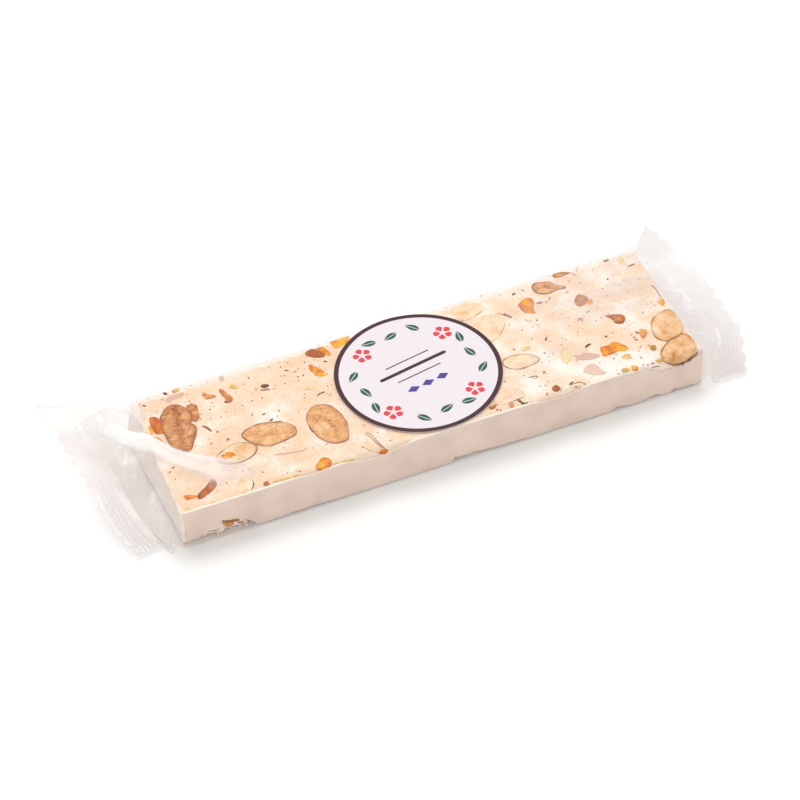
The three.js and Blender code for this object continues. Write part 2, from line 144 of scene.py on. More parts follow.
# Where the zigzag cut of each seal runs, from the back to the front, and which way the band lies from it.
LEFT_SEAL = [
    ((-107.1, 35.6, 12), (0.86, 0.13, -0.49)),
    ((-104.9, 21.5, 9.6), (0.93, 0.15, -0.3)),
    ((-102.4, 6.4, 7.3), (0.98, 0.15, -0.08)),
    ((-101.2, -7.5, 5), (0.98, 0.18, 0.06)),
    ((-99.7, -16, 3.4), (0.96, 0.26, 0.05)),
    ((-96.7, -23.1, 1.8), (0.97, 0.2, -0.04)),
]
RIGHT_SEAL = [
    ((90.6, 31.6, 15.8), (-0.44, -0.22, -0.87)),
    ((94.6, 20.7, 14.4), (-0.8, -0.08, -0.58)),
    ((97.1, 5.4, 12.3), (-0.97, 0.05, -0.02)),
    ((99, -12.8, 9.6), (-0.96, 0.1, 0.2)),
    ((99.4, -17.6, 7.6), (-0.95, 0.1, 0.24)),
    ((98, -22.4, 3.8), (-0.98, 0.05, 0.15)),
    ((96.2, -27.4, 0.8), (-0.99, 0.05, 0.05)),
]

# Almonds cut flush with the top: roast from 0 to 1, blush from 0 to 1, thickness of the skin line, and
# outline as x,y pairs.
ALMONDS = [
    (0.96, 0, 0.28, "-74.9,14.6 -73.2,16.4 -71.2,17 -69.4,16.5 -68.2,15.1 -67.3,12.9 -67,10.8 -67.6,9.1 "
     "-68.4,7.8 -67.7,6.7 -67.6,5.1 -68.6,2.7 -70.2,0.2 -71.8,-2.3 -73.8,-2.5 -75.3,-1.7 -76.1,0 "
     "-76.4,2.3 -76.6,5 -76.5,7.5 -76,10.5 -75.6,13"),
    (0.55, 0, 0.3, "-56.2,-3 -53.9,-1.4 -50.3,-0.8 -46.7,-1.7 -43.6,-2.9 -41.9,-4.4 -41.2,-6.7 -41.6,-8.2 "
     "-43,-9.1 -45.7,-9.6 -48.3,-10.1 -51.1,-9.8 -53.2,-8.2 -54.8,-6.4 -55.8,-4.4"),
    (0.24, 0, 0.32, "-65.8,-8.4 -64.4,-7.2 -62,-6.1 -59.3,-5.3 -56.8,-6 -54.9,-7.3 -54.1,-9.2 -55.2,-10.9 "
     "-57.4,-12.2 -60.2,-12.8 -62.9,-12.3 -65.1,-11 -65.9,-9.5"),
    (0.62, 0, 0.26, "-36.6,-4.3 -35.3,-1.9 -33.2,-0.4 -31,-0.6 -28.9,-2 -27.6,-4.5 -27,-7.5 -26.8,-10.8 "
     "-27.7,-14.7 -28.9,-16.8 -31.1,-17 -33.1,-16.5 -34.7,-15 -35.9,-13.1 -36.5,-10.8 -37,-8.4 -37,-6"),
    (0.05, 0, 0, "-63.8,-19.7 -62.4,-18.8 -60.8,-19.2 -59.7,-20.6 -60.1,-22.6 -61.3,-24.2 -63.2,-24.6 "
     "-64.5,-23.4 -64.6,-21.5"),
    (0.08, 0, 0, "-25.5,-19.9 -23.7,-20.2 -22.1,-22 -21.5,-24.4 -22.7,-25.3 -24.6,-23.4 -26.1,-21.3"),
    (0.7, 0, 0.34, "46.8,20.4 48,21.6 50,21.4 52.2,20.4 53.3,18.9 55.1,17 55.8,16.3 53.5,16.4 51.8,16.2 "
     "49.8,16.1 47.9,17 46.8,18.5"),
    (1.0, 0, 0, "54.9,23.4 56,23.9 57.9,23.4 58.7,22.6 60.1,21.8 58.3,21.7 56.5,21.2 54.8,21.8 54.5,22.7"),
    (0, 0, 0.2, "25.1,-6.1 27.3,-5 29.5,-4.9 32.2,-5.7 34.5,-7.3 35.3,-9.2 33.6,-10.3 31.2,-10.7 "
     "28.2,-10.6 26.1,-9.7 24.7,-7.5"),
    (0, 0.1, 0, "18.3,-17.3 20.3,-16.3 22.3,-17 24.7,-18.3 25.2,-20.1 25.2,-21.7 22.6,-21.9 19.9,-22.2 "
     "16.3,-21.8 15.6,-20.6 16.9,-18.5"),
    (0, 0.1, 0, "25.2,13.8 27,14.8 29.6,14.7 31.9,14 33.2,10.9 31.8,8.3 29.7,6 26.9,3.8 24.4,4 "
     "23.6,8.1 23.5,12"),
    (0.1, 0, 0, "20.5,21.1 22.5,22.1 25.9,22.3 28.2,20.6 29.3,17.7 26.2,16 22.3,15.1 20.3,16.6 19.9,18.8"),
    (0.34, 0, 0.24, "71.5,-11.4 73.5,-8.1 76.6,-5.9 79.6,-5.7 82,-6.9 83.4,-9 83,-12.4 79.9,-15.8 "
     "76,-17.6 72.7,-17.4 71.1,-15"),
    (0.52, 0, 0.3, "69.3,-22.1 71.6,-19.7 74.8,-17.7 78.3,-17 81.4,-18.5 82.3,-20.7 80.7,-23.1 78,-26 "
     "74.9,-27.3 71.5,-27.5 69.4,-25.9 68.7,-23.9"),
    (0, 0.7, 0, "45.2,-18.9 47.7,-17.2 49.5,-18.1 50.1,-20.5 50.8,-22.6 47.9,-22.3 46,-20.8 45,-19.7"),
    (0.1, 1.0, 0, "45.4,-13.4 47.9,-12.3 50.2,-12.9 52.5,-15 51.1,-15.6 48.6,-15.4 46.5,-14.4"),
    (0.5, 0.8, 0, "-72.1,19.4 -70.8,20.6 -68.5,20.8 -66.1,20.6 -66.6,19.5 -69.2,19.3 -71.2,19"),
    (0.4, 0.9, 0, "-53.9,22.9 -53,22.5 -53.3,20.9 -54.4,20.7"),
    (0.3, 0, 0, "81.2,-21.8 82.9,-20.6 83.9,-21.8 82.6,-23.6 81,-23.6"),
]

# Almonds and fruit in the middle of the underside, where the label's place on the top holds none: which
# outline, and where it lies, as X, Y and degrees.
BASE_ALMONDS = [(3, -10, 9, 70), (1, 9, 12, 10), (12, 11, -7, 30), (2, -9, -12, 60), (6, 0, -1, 80)]
BASE_FRUIT = [(1, 2, 20, 30), (7, 16, 3, 60), (10, -18, -2, 10), (22, 2, -16, 90), (26, -3, -20, 0)]

# Candied pieces set in the top: kind, tone from 0 (dark) to 1 (pale), and outline as x,y pairs.
FRUIT = [
    ("cherry", 0.62, "-67.1,15.1 -64.3,14.6 -64.8,10.7 -65.2,8.7 -66.9,7.8 -67.3,9.3 -66.9,11.1 -67.3,13.2"),
    ("orange", 0.3, "-77.9,15 -76.5,14.4 -76,11.9 -76,9.3 -76.6,7.3 -78.8,7.8 -79.3,12 -78.8,14.4"),
    ("orange", 0.85, "-80.5,11.6 -79.2,11 -79.5,8.8 -81,8.3 -81.1,9.9"),
    ("orange", 0.65, "-81.1,6.9 -79.3,6.8 -78.2,5.3 -77.6,1.2 -78.7,1.7 -79.8,4.5 -81,5.6"),
    ("orange", 0.1, "-69.7,-15.8 -69.4,-18.1 -70,-19.1 -73.3,-21 -75.9,-21.8 -76.1,-20.7 -75.1,-19.3 "
     "-72.6,-17.8 -70.7,-16.3"),
    ("orange", 0.6, "-79.4,-18.6 -77.8,-19 -75.9,-20.5 -77.5,-20.7 -79.5,-20.1"),
    ("orange", 0.6, "-65.6,-8.6 -64,-7.3 -61.6,-7.4 -60.3,-9 -60.4,-10.6 -61.6,-11.4 -63.8,-11 -65.6,-10.3"),
    ("orange", 0.6, "-41.5,-23.7 -40,-21.8 -37.9,-20.6 -36.4,-22.1 -36.5,-23.9 -37.8,-25.1 -40,-25.5 "
     "-41.3,-24.8"),
    ("cherry", 0.4, "-57.1,-23.3 -56,-22.9 -55.6,-24.1 -56.5,-24.9 -57.3,-24.1"),
    ("lemon", 0.4, "-68.9,23 -67.6,24 -66.6,22.8 -67.7,21.6 -68.9,22"),
    ("cherry", 0.68, "-61.1,18.1 -60.2,18.2 -60,17.3 -58.4,16.4 -57.7,15.5 -59.9,15 -61,15.5 -61.3,17"),
    ("cherry", 0.62, "-56,17.9 -55.3,17.9 -54.4,15.4 -53.5,13.1 -54,11.7 -55.3,11.1 -55.7,13.5 -56.1,15.6"),
    ("lemon", 0.6, "-52.2,18.4 -51.3,18.1 -50.5,16.1 -52.3,16.5"),
    ("orange", 0.62, "-28,16.8 -26.9,15.7 -25.6,13.6 -24.8,11.8 -26.7,10.2 -28.1,12.7 -28.6,14.9"),
    ("lemon", 0.6, "-24.9,11.6 -24.1,10.7 -26,10.2"),
    ("cherry", 0.35, "-27.4,21.6 -25.7,22.7 -24.3,22.5 -22.9,20.5 -22.1,18.4 -22.7,17.8 -25,18.5 -27,20"),
    ("orange", 0.5, "-23.4,22.4 -21.4,22 -20.7,20.1 -20.4,18 -21,17.5 -22.1,18.7 -22.9,20.5"),
    ("orange", 0.8, "-18.7,23.6 -16.7,24 -14.4,23.9 -12.5,23.9 -13.6,21.2 -16.7,20 -18.3,20 -18.8,22.1"),
    ("lemon", 0.8, "-34.2,7.7 -31.7,7.8 -29.4,6.8 -31,6.7"),
    ("orange", 0.62, "39.3,14.8 41.4,16.3 43,17 44.3,16.1 44.3,13.7 43,11.6 42.8,9.5 40.8,10.2 "
     "39.6,11.5 39.5,13.2"),
    ("cherry", 0.6, "57,11.1 58.3,11.8 60.1,9.2 57.9,6.6 55.6,7 55.7,9.2"),
    ("orange", 0.7, "59.4,8.3 60.8,8.2 60.5,6.7 59.1,6.2"),
    ("cherry", 0.5, "61.3,-0.4 63.2,-0.4 66.6,-2.3 65.9,-4.6 64.6,-5.4 63.2,-4.4 62.2,-1.9"),
    ("cherry", 0.3, "62.7,-3.3 64.2,-3.3 65.6,-4.4 64.6,-5.4 63.1,-4.9"),
    ("orange", 0.65, "54.1,-12 56.4,-12 58.8,-11.5 60.2,-12.7 61.5,-15.7 60.4,-16.4 58.1,-15.7 "
     "55.5,-16.2 53.2,-15.8 53.4,-14.2"),
    ("lemon", 0.5, "58,-18.1 60.5,-18 60.6,-19.3 59.1,-20 58.1,-19.2"),
    ("orange", 0.85, "78.4,-1.1 81.4,-0.2 82,-1.2 81,-2.6 78.9,-3.2 78.5,-1.9"),
    ("cherry", 0.3, "33.9,-21.5 35.4,-21.2 35.9,-22.7 34.7,-23.8 33.6,-23.3"),
    ("lemon", 0.9, "42.8,-8.5 44.5,-8.8 45.1,-11.4 42.4,-14 41.5,-13.6 42,-9.7"),
    ("lemon", 0.7, "32.1,-2.4 34.1,-2.5 35.1,-3.4 33.8,-4.2 32.2,-3.4"),
    ("lemon", 0.7, "76.8,22.3 77.8,21.4 77.3,19.4 77.4,17.9 76,18.8 76,20.8"),
    ("cherry", 0.75, "68.3,-9.9 69.8,-10.7 69.3,-12.6 67.5,-13.9 67.1,-12.3"),
    ("lemon", 0.1, "67.9,-17.5 69.3,-18 68.9,-19.7 67.6,-20 67.3,-18.8"),
    ("lemon", 0.75, "74.6,-25.6 75.9,-25.1 77.3,-25 79.3,-24.2 78.9,-25.4 77,-26.2 75.1,-26.6"),
    ("orange", 0.7, "59,-23 60.6,-24 59.6,-25.7 58.4,-24.6"),
    ("lemon", 0.4, "55.7,-23 57.7,-23.3 57.6,-24.5 55.4,-24.5"),
    ("lemon", 0.55, "-54.9,-23.9 -50.4,-23.7 -46.7,-24 -46.9,-24.4 -52.9,-24.4"),
    ("lemon", 0.55, "-36.8,-24.1 -33,-24.3 -29.9,-24.8 -30.1,-25.2 -34.2,-24.9"),
    ("orange", 0.45, "-22.5,-24.8 -20.8,-24.5 -19.7,-25.3 -20.9,-26.6 -22.6,-26.1"),
    ("lemon", 0.35, "66.5,-23.8 67.9,-23.7 68.4,-25 66.9,-25.1"),
    ("lemon", 0.6, "-74.7,-24.4 -71.2,-24.4 -71,-25.2 -74.8,-25.4"),
    ("lemon", 0.5, "-81.2,-23.4 -79.5,-23.5 -79.9,-25 -81.3,-24.8"),
    ("cherry", 0.3, "13.8,-21.6 15.5,-21.6 15.3,-22.6 13.4,-22.6"),
    ("cherry", 0.8, "19.5,-22.3 20.6,-22 20.7,-23.6 19.5,-24.5 19,-23.8"),
]

# Lines of almond skin in the top: width, tone from 0 (dark) to 1 (pale), and path as x,y pairs.
SHREDS = [
    (0.6, 0.2, "80.5,6.4 81.5,5 81.7,2.7 81.2,0.1"),
    (0.3, 0.7, "29.4,14.4 32,14.1 33.9,12.5 35.5,10.5"),
    (1.0, 0.4, "33.5,13 34.4,12.1 35.4,10.5"),
    (0.5, 0.4, "29.3,17.7 27.3,16.5 24.3,15.7 20.9,15.5"),
    (0.3, 0.6, "20.4,21.2 22.5,22.1 24.1,21.9"),
    (0.25, 0.7, "33.2,10.7 31.8,8.3 29.8,6 26.4,3.6"),
    (0.25, 0.5, "-23.5,-16.6 -22.4,-19.4 -21.8,-21.8 -20.8,-25.1"),
    (0.2, 0.5, "-22.9,-16.4 -21.9,-18.4 -21.4,-20.9"),
    (0.5, 0.3, "-26.4,-21.2 -24,-23.9 -21.9,-26.2 -19.9,-25.2"),
    (0.35, 0.4, "-21.5,-20.6 -21,-23.1 -20.3,-25.3"),
    (0.45, 0.15, "13.9,-21.5 18,-21.7 21.3,-22 24.9,-21.8"),
    (0.22, 0.3, "20.3,-16.4 22.3,-17 24.6,-18.3 25.2,-20.1"),
    (0.8, 0.05, "22.4,-21.4 22.9,-23.5 24.3,-24.9 25.7,-25.9"),
    (0.5, 0.1, "22.7,-22.4 23.6,-25.1 24.2,-26.1"),
    (0.5, 0.2, "13.2,-21.9 14.2,-21.9 15.5,-21.7"),
    (0.25, 0.6, "28.9,-15 30.7,-15.1 31.9,-16 30.2,-16.2"),
    (0.5, 0.2, "23.1,-22.4 22.9,-23.9 22.9,-24.8"),
    (0.7, 0.3, "69,-22 69.8,-24.6 72.1,-26.1 74.8,-26.2 78.4,-24.6"),
    (0.35, 0.6, "38.9,-23 42.2,-22.9 43.3,-25 42.3,-26.1 39.5,-24"),
    (0.35, 0.5, "64.2,-26.3 65.6,-26.2 67.1,-26.6"),
    (0.4, 0.2, "-60,-19.7 -59.7,-21.6 -60.6,-23.6 -62.8,-24.7"),
    (0.8, 0.35, "-65.5,5.7 -64.5,4.3 -63.7,2.3"),
    (0.45, 0.1, "-30.6,3.4 -29.6,3.9 -27.7,4"),
    (0.35, 0, "-31.4,-8.2 -31.5,-9.8 -30.2,-11"),
    (0.9, 0.05, "49.9,-10.3 51.1,-9.7 52.2,-9.5"),
    (0.7, 0.1, "57.3,-8.5 57.8,-8.4 58.1,-8.4"),
    (0.6, 0.1, "38.8,-22.5 39.7,-22.3 40.5,-22"),
    (0.7, 0.1, "40.4,-26.7 40.8,-27.1 41.6,-27"),
    (0.2, 0.8, "28.8,-14.9 30,-15.3 31.7,-15.3"),
    (0.6, 0.3, "77.3,16.9 78.6,17 80.2,17.2"),
    (0.25, 0.5, "59.8,21.9 60.6,21 61.3,19.5"),
    (0.8, 0.5, "44.8,13.1 45.7,13.2 46.8,13.1"),
    (0.4, 0.6, "48.6,13.1 49.6,13.9 50,14.2"),
    (0.9, 0.7, "53,1.3 54,1.5 54.8,1.3"),
    (1.2, 0.1, "71.8,-27.8 74.4,-28.2 76.8,-27.7 78.9,-26.5"),
    (0.7, 0, "69.6,-26.8 71.6,-28 74.6,-28.2 77.6,-27.3 79.8,-25.7 81.4,-23.7"),
    (0.35, 0.1, "54.5,22.4 56,21.6 58.3,21.7 60.1,21.7"),
    (0.3, 0.9, "-50.5,-14 -46.7,-14.8 -41.5,-15.8"),
    (0.5, 0.2, "-23.6,15.8 -23,15.9 -22.6,15.4"),
    (0.5, 0, "-78.8,20.7 -78.4,20.3 -77.9,19.9"),
    (0.25, 0.3, "-71.5,12.5 -71.8,9.5 -71.2,6.5"),
    (0.9, 0.6, "-44.9,12.4 -43.6,12.2 -42.2,11.6"),
]

# Dark flecks in the top: x, y, radius.
FLECKS = [
    (24.5, -24.6, 0.5), (23.2, -24.2, 0.35), (25.6, -24.8, 0.4), (31.2, -23.6, 0.3), (40.3, -24.2, 0.35),
    (41.2, -24.6, 0.3), (62.3, -24, 0.35), (63.6, -24.4, 0.4), (65.2, -24.6, 0.35), (66.8, -24.5, 0.3),
    (68.2, -24.9, 0.35), (54, -24.4, 0.3), (36.6, -24.4, 0.3),
    (-43.1, 13.7, 1.0), (-71.1, 22.7, 0.8), (-34.9, 17.1, 0.5), (-36, 19.2, 0.3), (-47.4, 2.6, 0.5),
    (-46.3, -0.5, 0.6), (-43, 2.1, 0.35), (-46.3, 18.8, 0.35), (-76.4, 22.9, 0.3), (-28.8, 18.1, 0.3),
    (-31.1, 13.2, 0.3), (-36.4, 15.4, 0.3), (-51.8, 8.6, 0.25), (-57.2, 8.2, 0.25), (-55.4, 6.1, 0.25),
    (-62.2, 1.5, 0.35), (-62.3, 7.3, 0.2), (-78.7, -6.9, 0.5), (-80.4, -8.2, 0.4), (-65.5, -2.2, 0.3),
    (-60.6, -2.7, 0.5), (-55.8, 12, 0.5), (-60.9, -16.5, 0.2), (-48.8, -21.3, 0.2), (40.8, -2.2, 0.55),
    (34.3, -14.9, 0.4), (65.2, -13.5, 0.55), (66.9, -10.8, 0.5), (63, -21, 0.3), (55.6, -18, 0.35),
    (31.4, -23.2, 0.4), (30.3, -2.2, 0.3), (43.9, -6.4, 0.25), (36.1, -23, 0.3), (16.1, -24, 0.3),
    (72.4, 22.2, 0.7), (43.6, 20.5, 0.5), (40.2, 20, 0.5), (31, 23.6, 0.35), (19.1, 23, 0.3),
    (41.8, 6.5, 0.3), (41.2, 4.4, 0.25), (57.7, 3.6, 0.3), (65.9, 11, 0.3), (69.3, 14.2, 0.35),
]

# Things that show in the front side where the wafer is torn: kind, tone, and outline as x,z pairs.
FRONT_BITS = [
    ("kernel", 0.1, "-71,6 -70.4,7.3 -68.3,6.8 -66.2,5.6 -65.3,4.3 -67.2,4.6 -69.4,5.2"),
    ("skin", 0.5, "-71.1,5.5 -68.5,4.9 -65.7,4.4 -65.4,3.2 -67.3,3.3 -70.3,4.5"),
    ("kernel", 0.8, "-70.5,4.3 -67.3,3.2 -66.9,2.2 -68.4,1.1 -70,2.2"),
    ("skin", 0.5, "-65.2,4.2 -63.3,3.7 -61.4,2 -61.9,1.3 -63.8,2.5"),
    ("nougat", 0.5, "-75.6,4.1 -73.8,4.8 -71.6,4.4 -71.8,2.7 -74,2.7"),
    ("skin", 0.4, "-76.1,3.4 -73.9,3.1 -71.8,2.3 -71.8,1.9 -74,2.6"),
    ("kernel", 0.6, "-58.7,3.3 -57.8,2.6 -57.9,1.1 -58.8,1.8"),
    ("kernel", 0.9, "72,1.9 73.1,1.6 73.2,0.4 72.2,0.6"),
    ("skin", 0.7, "-79.4,2.1 -77.6,2.5 -75.9,1.8 -77.7,1.5"),
    ("kernel", 0.2, "-75,1.7 -73.6,2.3 -72.2,1.5 -73.4,0.8"),
    ("nougat", 0.5, "-71.9,1.4 -70.8,2 -69.6,1.3 -70.6,0.7"),
    ("skin", 0.6, "-66.4,2.3 -65.2,2.6 -64.1,1.8 -65.2,1.5"),
    ("kernel", 0.35, "-66,1.3 -64.7,1.6 -63.5,0.9 -64.8,0.5"),
]


# ---------------------------------------------------------------- settings

def linear(code):
    """Linear colour of an sRGB hex code."""
    channels = [int(code[i:i + 2], 16) / 255 for i in (1, 3, 5)]
    return tuple(c / 12.92 if c <= 0.04045 else ((c + 0.055) / 1.055) ** 2.4 for c in channels)


def length_setting(name, description, default):
    return FloatProperty(name=name, description=description, default=default, min=0, unit="LENGTH")


def colour_setting(name, description, code):
    return FloatVectorProperty(
        name=name, description=description, subtype="COLOR", size=3, min=0, max=1, default=linear(code)
    )


class NougatSizes(bpy.types.PropertyGroup):
    """Sizes of the bar, its wrap and its label."""

    bar_length: length_setting("Bar length", "Length of the bar in its film", 0.1645)
    bar_width: length_setting("Bar width", "Width of the bar in its film", 0.0505)
    bar_height: length_setting("Bar height", "Height of the bar in its film", LABEL_LOW.z)
    film_gap: length_setting("Film gap", "Air between the bar and the film", 0.0003)
    wafer_thickness: length_setting("Wafer thickness", "Thickness of a wafer sheet", 0.0004)
    seal_width: length_setting("Seal width", "Width of the crimped band at each end", 0.009)
    tooth_depth: length_setting("Tooth depth", "Depth of the zigzag cut", 0.0012)
    rib_pitch: length_setting("Rib pitch", "Distance between two ribs of the crimp", 0.0014)
    label_radius: length_setting(
        "Label radius", "Radius of the round label", (LABEL_HIGH.x - LABEL_LOW.x) / 2
    )
    ring_width: length_setting("Ring width", "Width of the printed ring", 0.0014)
    teeth: IntProperty(name="Teeth", description="Teeth along each cut", default=13, min=1)
    speck_count: IntProperty(name="Specks", description="Specks on each face", default=620, min=0)
    seed: IntProperty(name="Seed", description="Seed of every random draw", default=11)


class NougatColours(bpy.types.PropertyGroup):
    """Colours of the food, the wrap and the print."""

    nougat: colour_setting("Nougat", "Cream of the sawn nougat", "#F8E1C8")
    nougat_peach: colour_setting("Nougat peach", "Warmer patches of the nougat", "#F2D3B1")
    # The palest stop also paints the highlights of the film's sheen on the top.
    nougat_pale_and_highlight: colour_setting("Nougat pale", "Paler patches of the nougat", "#FFF7EC")
    # Also paints the highlight along the soft back edge.
    nougat_sides_and_highlight: colour_setting("Nougat crust", "Sides and ends of the nougat", "#FBF2EA")
    wafer: colour_setting("Wafer", "Wafer sheet", "#E9D6C9")
    # The wafer's paler top edge, partly a painted highlight.
    wafer_edge_and_highlight: colour_setting("Wafer edge", "Cut top edge of the wafer sheet", "#FFF8EA")
    kernel_pale: colour_setting("Pale kernel", "Blanched almond", "#FAE4C4")
    kernel: colour_setting("Kernel", "Lightly roasted almond", "#EBB475")
    kernel_roast: colour_setting("Roast kernel", "Darkest part of a roasted almond", "#A64D08")
    kernel_blush: colour_setting("Blushed kernel", "Kernel stained by the fruit", "#DDB9AC")
    skin: colour_setting("Almond skin", "Skin round a cut almond", "#9A5C38")
    orange_deep: colour_setting("Orange, deep", "Dark candied orange peel", "#97400C")
    orange_peel: colour_setting("Orange peel", "Candied orange peel", "#D97202")
    orange_bright: colour_setting("Orange, bright", "Clear candied orange peel", "#FBB51E")
    lemon_deep: colour_setting("Lemon, deep", "Dark candied lemon peel", "#A87A2C")
    lemon_peel: colour_setting("Lemon peel", "Candied lemon peel", "#EABB55")
    lemon_bright: colour_setting("Lemon, bright", "Clear candied lemon peel", "#F8E2AE")
    cherry_deep: colour_setting("Cherry, deep", "Dark candied cherry", "#84440F")
    cherry: colour_setting("Cherry", "Candied cherry", "#B9611C")
    cherry_bright: colour_setting("Cherry, bright", "Clear candied cherry", "#EBA864")
    film: colour_setting("Film", "Tint of the clear film", "#FCFAF9")
    paper: colour_setting("Label paper", "Paper of the label", "#E3DBDF")
    plum: colour_setting("Plum ink", "Dark ink of the ring and the rules", "#46282F")
    leaf: colour_setting("Leaf ink", "Green ink", "#2F5A4C")
    coral: colour_setting("Coral ink", "Red ink", "#D9474A")
    blue: colour_setting("Blue ink", "Blue ink", "#4B4590")
    floor: colour_setting("Floor", "Plain pale floor", "#F8F8F7")


class Sizes:
    """The sizes in millimetres, as the shape functions use them."""

    def __init__(self, settings):
        self.length = settings.bar_length / MM
        self.width = settings.bar_width / MM
        self.height = settings.bar_height / MM
        self.gap = settings.film_gap / MM
        self.wafer = settings.wafer_thickness / MM
        self.nougat_half = self.width / 2 - self.gap - self.wafer  # half the nougat's own breadth
        self.seal = settings.seal_width / MM
        self.tooth = settings.tooth_depth / MM
        self.rib_pitch = settings.rib_pitch / MM
        self.label_radius = settings.label_radius / MM
        self.ring_width = settings.ring_width / MM
        self.label_x = (LABEL_LOW.x + LABEL_HIGH.x) / 2 / MM
        self.label_top = LABEL_HIGH.z / MM
        self.teeth = settings.teeth
        self.specks = settings.speck_count
        self.seed = settings.seed


# ---------------------------------------------------------------- shape helpers

EDGE_ROUND = 0.7  # radius of the sharp front edge of the film
FOOT_ROUND = 0.7  # radius of the film's two lower edges
BACK_SLOPE = (3.6, 1.3)  # reach across the bar and drop of the soft back edge
LEFT_END_SKEW = 1.5  # how much farther along X the left end lies at the back than at the front
RIGHT_END_SKEW = 0.9
FOLD_HALF = 0.3  # half the distance between the upper and the lower sheet along the sides
LOWEST_FILM = 0.12  # the film's underside rests on the back seal
NEAR_WAY = np.array([-0.57, -0.82])  # the way that the near slope of a fold faces
SLIDE = (0.36, 0.94)  # how far a place on the top moves along and across for each millimetre it drops


def smooth(t):
    """0 below 0, 1 above 1 and smooth between."""
    t = np.clip(t, 0, 1)
    return t * t * (3 - 2 * t)


def bump(distance, reach):
    """A smooth bump, 1 in the middle and 0 beyond its reach."""
    t = np.clip(np.abs(distance) / reach, 0, 1)
    return (1 - t * t) ** 2


def noise_at(points, size, seed):
    """Smooth noise of about -1 to 1 at points, with lumps of about that size."""
    shift = Vector((seed * 13.7, seed * 7.1, seed * 3.3))
    points = np.asarray(points, float)
    flat = np.zeros((points[..., 0].size, 3))
    flat[:, :points.shape[-1]] = points.reshape(-1, points.shape[-1]) / size
    values = [noise.noise(Vector(p) + shift) for p in flat]
    return 1.6 * np.array(values).reshape(points.shape[:-1])


def noise_along(x, size, seed):
    """Smooth noise of about -1 to 1 at places along a line."""
    return noise_at(np.column_stack([x, 0 * x, 0 * x]), size, seed)


def unit(vectors):
    """Vectors made one long."""
    return vectors / np.linalg.norm(vectors, axis=-1, keepdims=True)


def quarter_left(ways):
    """Directions on the flat turned a quarter to the left."""
    return np.stack([-ways[..., 1], ways[..., 0]], axis=-1)


def end_x(s, side, y):
    """X of the bar's end on one side at places across it."""
    skew = LEFT_END_SKEW if side < 0 else RIGHT_END_SKEW
    return side * s.length / 2 + skew * y / s.width


def front_x(s, share):
    """X on the front edge at a share of the way from the left end to the right one."""
    left, right = end_x(s, -1, -s.width / 2), end_x(s, 1, -s.width / 2)
    return left + (right - left) * share


def worn(x, places):
    """How much an edge is worn down at x, from (middle, half length, depth) places along the bar."""
    return sum(depth * bump(x - middle, reach) for middle, reach, depth in places)


def crush(x):
    """How much the front top edge is rounded over by crushing at places along the bar."""
    return worn(x, CRUSHED_EDGE)


def label_free(s, x, y):
    """0 under and just round the label, 1 away from it."""
    return smooth((np.hypot(x - s.label_x, y) - s.label_radius - 1) / 5)


def top_relief(s, x, y):
    """Slow unevenness of the sawn top, level under the label."""
    along = np.sin(FULL_TURN * (x / 48 + 0.18))
    across = np.sin(FULL_TURN * (y / 33 + 0.18))
    return label_free(s, x, y) * 0.2 * (along * across - 1) / 2


def back_drop(s, y, reach, drop):
    """How far the soft back edge lies below the top at places across the bar."""
    inside = np.clip((y - s.width / 2 + reach) / reach, 0, 0.98)
    return drop * (1 - np.sqrt(1 - inside ** 2))


def smooth_line(stations, shares, closed=False):
    """Points at shares of the length of a centripetal curve through the stations."""
    p = np.array(stations, float)
    if closed:
        p = np.vstack([p[-1], p, p[:2]])
    else:
        p = np.vstack([2 * p[0] - p[1], p, 2 * p[-1] - p[-2]])
    t = np.linspace(0, 1, 24, endpoint=False)[:, None]
    pieces = []
    for a, b, c, d in zip(p, p[1:], p[2:], p[3:]):
        ab, bc, cd = (np.linalg.norm(v) ** 0.5 for v in (b - a, c - b, d - c))
        leave = ((b - a) / ab - (c - a) / (ab + bc) + (c - b) / bc) * bc
        arrive = ((c - b) / bc - (d - b) / (bc + cd) + (d - c) / cd) * bc
        square = 3 * (c - b) - 2 * leave - arrive
        cube = 2 * (b - c) + leave + arrive
        pieces.append(b + leave * t + square * t ** 2 + cube * t ** 3)
    line = np.vstack([*pieces, p[-2]])
    steps = np.linalg.norm(np.diff(line, axis=0), axis=1)
    travelled = np.concatenate([[0], np.cumsum(steps)])
    wanted = np.asarray(shares) * travelled[-1]
    return np.column_stack([np.interp(wanted, travelled, column) for column in line.T])


def torn_line(x):
    """Height of the front wafer's lower edge at places along the bar."""
    return np.interp(x, *zip(*TORN_EDGE))


def trace(text):
    """Places written as pairs of numbers."""
    return np.array([[float(value) for value in pair.split(",")] for pair in text.split()])


def round_outline(text, sides):
    """Points at even steps round the smooth closed outline through some places, anticlockwise."""
    points = smooth_line(trace(text), np.arange(sides) / sides, closed=True)
    ahead = np.roll(points, -1, axis=0)
    area = np.sum(points[:, 0] * ahead[:, 1] - ahead[:, 0] * points[:, 1])
    return points if area > 0 else points[::-1]


def outward(outline):
    """Directions that point out of an anticlockwise outline at each of its points."""
    return unit(quarter_left(np.roll(outline, 1, axis=0) - np.roll(outline, -1, axis=0)))


